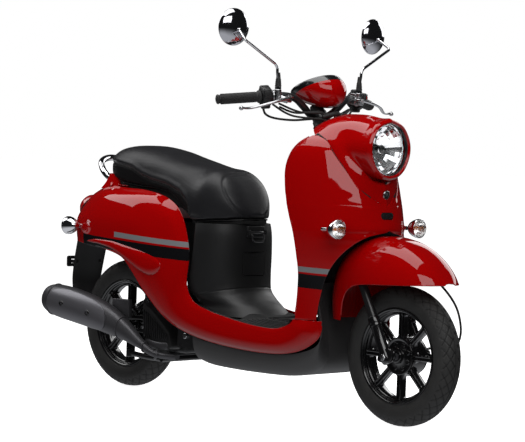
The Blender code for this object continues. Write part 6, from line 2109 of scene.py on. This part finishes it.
def running_gear():
    kick_at = V((-0.315, 0.119, 0.205))
    boss = turned(
        "boss", [(0.0125, 0.0), (0.013, 0.001), (0.013, 0.012), (0.0115, 0.014)], kick_at, ACROSS, sides=40
    )
    arm = tube(
        "arm",
        [kick_at + V((0, 0.008, 0)), kick_at + V((-0.08, 0.012, 0.02)), kick_at + V((-0.175, 0.014, 0.03))],
        [0.0085, 0.0066, 0.006], sides=16, count=30
    )
    merge("kick_arm_bar", [boss, arm], ENGINE, "kick", "kick_lever")
    profile = [(0.0085, 0.004)]
    for i in range(7):
        at = 0.008 + i * 0.006
        profile += [(0.009, at), (0.01, at + 0.001), (0.01, at + 0.003), (0.009, at + 0.004)]
    profile += [(0.0085, 0.052)]
    turned("kick_pedal_rubber", profile, kick_at + V((-0.172, 0.0, 0.03)), ACROSS, RUBBER, "kick", sides=36)
    top, foot = V((-0.48, 0.0905, 0.581)), V((-0.59, 0.0905, 0.3))
    down = (foot - top).normalized()
    length = (foot - top).length
    head = turned(
        "head",
        [
            (0.0185, 0.012), (0.0192, 0.014), (0.0192, 0.022), (0.0165, 0.0255), (0.006, 0.026),
            (0.0058, 0.2)
        ],
        top, down, sides=40
    )
    eye = turned(
        "eye",
        [
            (0.0058, -0.011), (0.013, -0.011), (0.0142, -0.0098), (0.0142, 0.0098), (0.013, 0.011),
            (0.0058, 0.011)
        ],
        top, ACROSS, sides=36, loop=True
    )
    merge("damper_rod", [head, eye], SATIN, "chassis", "shock_rod")
    body = [
        (0.0, length - 0.031), (0.019, length - 0.0425), (0.0202, length - 0.045), (0.0202, length - 0.049),
        (0.018, length - 0.0515)
    ]
    body += [(0.014, length - 0.053), (0.014, 0.106), (0.0132, 0.105), (0.0072, 0.105)]
    turned("damper_tube", body, top, down, STEEL, "shock_lower", "shock_body", sides=44)
    stand_at = V((-0.315, 0.0, 0.112))
    parts = [
        turned(
            "pivot", [(0.0082, -0.095), (0.009, -0.094), (0.009, 0.094), (0.0082, 0.095)], stand_at, ACROSS,
            sides=32
        )
    ]
    for side in (-1, 1):
        path = [
            stand_at + V((0, side * 0.085, 0)), stand_at + V((-0.07, side * 0.093, 0.002)),
            stand_at + V((-0.126, side * 0.112, 0.01))
        ]
        parts.append(tube("leg", path, 0.0088, sides=24, count=40))
        parts.append(
            block(
                "foot", (-0.45, side * 0.112 - 0.012, 0.11), (-0.434, side * 0.112 + 0.012, 0.134),
                soft=0.003
            )
        )
    parts.append(
        tube(
            "brace", [stand_at + V((-0.028, -0.088, 0.001)), stand_at + V((-0.028, 0.088, 0.001))], 0.0068,
            sides=20, count=4
        )
    )
    merge("centre_stand_frame", parts, STEEL, "main_stand", "center_stand")
    at = V((-0.17, 0.125, 0.158))
    boss = turned(
        "boss", [(0.0122, 0.0005), (0.013, 0.0012), (0.013, 0.0138), (0.0122, 0.0145)], at, ACROSS, sides=36
    )
    leg = tube(
        "leg", [at + V((0, 0.007, 0)), at + V((-0.08, 0.015, -0.01)), at + V((-0.158, 0.02, -0.015))],
        [0.0078, 0.008, 0.0074], sides=22, count=40
    )
    shoe = block("shoe", (-0.348, 0.127, 0.127), (-0.314, 0.165, 0.137), soft=0.004)
    merge("prop_stand_leg", [boss, leg, shoe], STEEL, "prop_stand", "side_stand")
    for side in (-1, 1):
        turned(
            f"hanger_bolt_{'right' if side < 0 else 'left'}",
            [(0.0095, 0.0), (0.0095, 0.0062), (0.008, 0.007), (0.0, 0.0072)],
            V((-0.175, side * 0.1222, 0.2)), (0, side, 0), ALLOY, "chassis", sides=6, angle=20
        )


def carried_nodes():
    dress("frame", STEEL)
    dress("luggage_box", BLACK)
    dress("fuel_tank", STEEL)
    dress("seat_pan", BLACK)
    dress("shock_spring", CHROME)


# ---- studio ------------------------------------------------------------------------------------
TARGET = V((0.021, 0.0, 0.567))
AZIMUTH, ELEVATION, ROLL = radians(44.97), radians(2.35), radians(1.94)
DISTANCE = 7.39
FOCAL_LENGTH_MM, SENSOR_MM = 164.57, 36.0


def studio():
    camera = bpy.data.cameras.new("camera")
    camera.lens = FOCAL_LENGTH_MM
    camera.sensor_width = SENSOR_MM
    viewer = bpy.data.objects.new("camera", camera)
    back = V((sin(AZIMUTH) * cos(ELEVATION), -cos(AZIMUTH) * cos(ELEVATION), sin(ELEVATION)))
    viewer.location = TARGET + back * DISTANCE
    turn = back.to_track_quat("Z", "Y").to_matrix().to_4x4() @ Matrix.Rotation(ROLL, 4, "Z")
    viewer.rotation_euler = turn.to_euler()
    bpy.context.scene.collection.objects.link(viewer)
    bpy.context.scene.camera = viewer

    ground, tree, shader = new_material("studio_floor")
    shade = noise(tree, object_coordinates(tree), 1.4, 3.0)
    tree.links.new(
        mix_colour(tree, shade, (0.86, 0.86, 0.86), (0.9, 0.9, 0.9)), shader.inputs["Base Color"]
    )
    shader.inputs["Roughness"].default_value = 0.9
    shader.inputs["Emission Color"].default_value = (1.0, 1.0, 1.0, 1.0)
    shader.inputs["Emission Strength"].default_value = 0.9
    mesh = bpy.data.meshes.new("floor")
    mesh.from_pydata(
        [(-30, -30, -0.0005), (30, -30, -0.0005), (30, 30, -0.0005), (-30, 30, -0.0005)], [], [(0, 1, 2, 3)]
    )
    mesh.materials.append(ground)
    floor = bpy.data.objects.new("floor", mesh)
    bpy.context.scene.collection.objects.link(floor)
    floor.visible_glossy = False
    floor.visible_diffuse = False

    world = bpy.data.worlds.new("studio")
    bpy.context.scene.world = world
    world.use_nodes = True
    tree = world.node_tree
    tree.nodes.clear()
    rays = tree.nodes.new("ShaderNodeLightPath")
    seen = add_node(tree, "ShaderNodeBackground", {"Color": (1.0, 1.0, 1.0, 1.0), "Strength": 1.0})
    direction = add_node(tree, "ShaderNodeSeparateXYZ")
    tree.links.new(add_node(tree, "ShaderNodeTexCoord").outputs["Generated"], direction.inputs[0])
    below = add_node(
        tree, "ShaderNodeMapRange", {"From Min": -0.14, "From Max": -0.7, "To Min": 0.012, "To Max": 0.62}
    )
    below.interpolation_type = "SMOOTHSTEP"
    tree.links.new(direction.outputs["Z"], below.inputs["Value"])
    mirrored = add_node(tree, "ShaderNodeBackground", {"Color": (0.94, 0.96, 1.0, 1.0)})
    tree.links.new(below.outputs[0], mirrored.inputs["Strength"])
    felt = add_node(tree, "ShaderNodeBackground", {"Color": (1.0, 1.0, 1.0, 1.0), "Strength": 0.26})
    gloss = tree.nodes.new("ShaderNodeMixShader")
    mix = tree.nodes.new("ShaderNodeMixShader")
    out = tree.nodes.new("ShaderNodeOutputWorld")
    tree.links.new(rays.outputs["Is Glossy Ray"], gloss.inputs[0])
    tree.links.new(felt.outputs[0], gloss.inputs[1])
    tree.links.new(mirrored.outputs[0], gloss.inputs[2])
    tree.links.new(rays.outputs["Is Camera Ray"], mix.inputs[0])
    tree.links.new(gloss.outputs[0], mix.inputs[1])
    tree.links.new(seen.outputs[0], mix.inputs[2])
    tree.links.new(mix.outputs[0], out.inputs[0])

    def softbox(name, at, aim_at, width, height, power, shines=True):
        light = bpy.data.lights.new(name, "AREA")
        light.shape = "RECTANGLE"
        light.size, light.size_y = width, height
        light.energy = power
        lamp = bpy.data.objects.new(name, light)
        lamp.location = at
        lamp.rotation_euler = (V(at) - V(aim_at)).to_track_quat("Z", "Y").to_euler()
        lamp.visible_glossy = shines
        bpy.context.scene.collection.objects.link(lamp)

    softbox("top", (0.0, -0.4, 3.0), (0, 0, 0.5), 2.6, 2.0, 50.0)
    softbox("front_high", (2.83, -1.54, 2.66), (0.45, 0, 0.6), 3.0, 1.7, 46.0)
    softbox("rear_high", (-2.4, -0.9, 2.5), (-0.3, 0, 0.55), 1.6, 1.9, 26.0)
    softbox("far_side", (-0.5, 3.5, 2.0), (0, 0, 0.5), 2.5, 1.6, 30.0)
    softbox("side_fill", (1.2, -4.2, 1.3), (0, 0, 0.5), 2.4, 1.8, 30.0, False)
    scene = bpy.context.scene
    scene.view_settings.view_transform = "Standard"
    scene.view_settings.look = "None"


studio()
wheel("front", FRONT_AXLE, "front_wheel")
wheel("rear", REAR_AXLE, "rear_wheel")
fork()
front_fender()
cables()
controls()
mirrors()
meter()
leg_shield()
arch_liner()
front_cowl()
headlight()
inner_shield()
ignition_key()
side_covers()
tail()
signals()
belly()
floor_board()
centre_cover()
seat_gap_painted_shade()
mudguard()
muffler()
engine()
fan_cover()
running_gear()
carried_nodes()
seat()
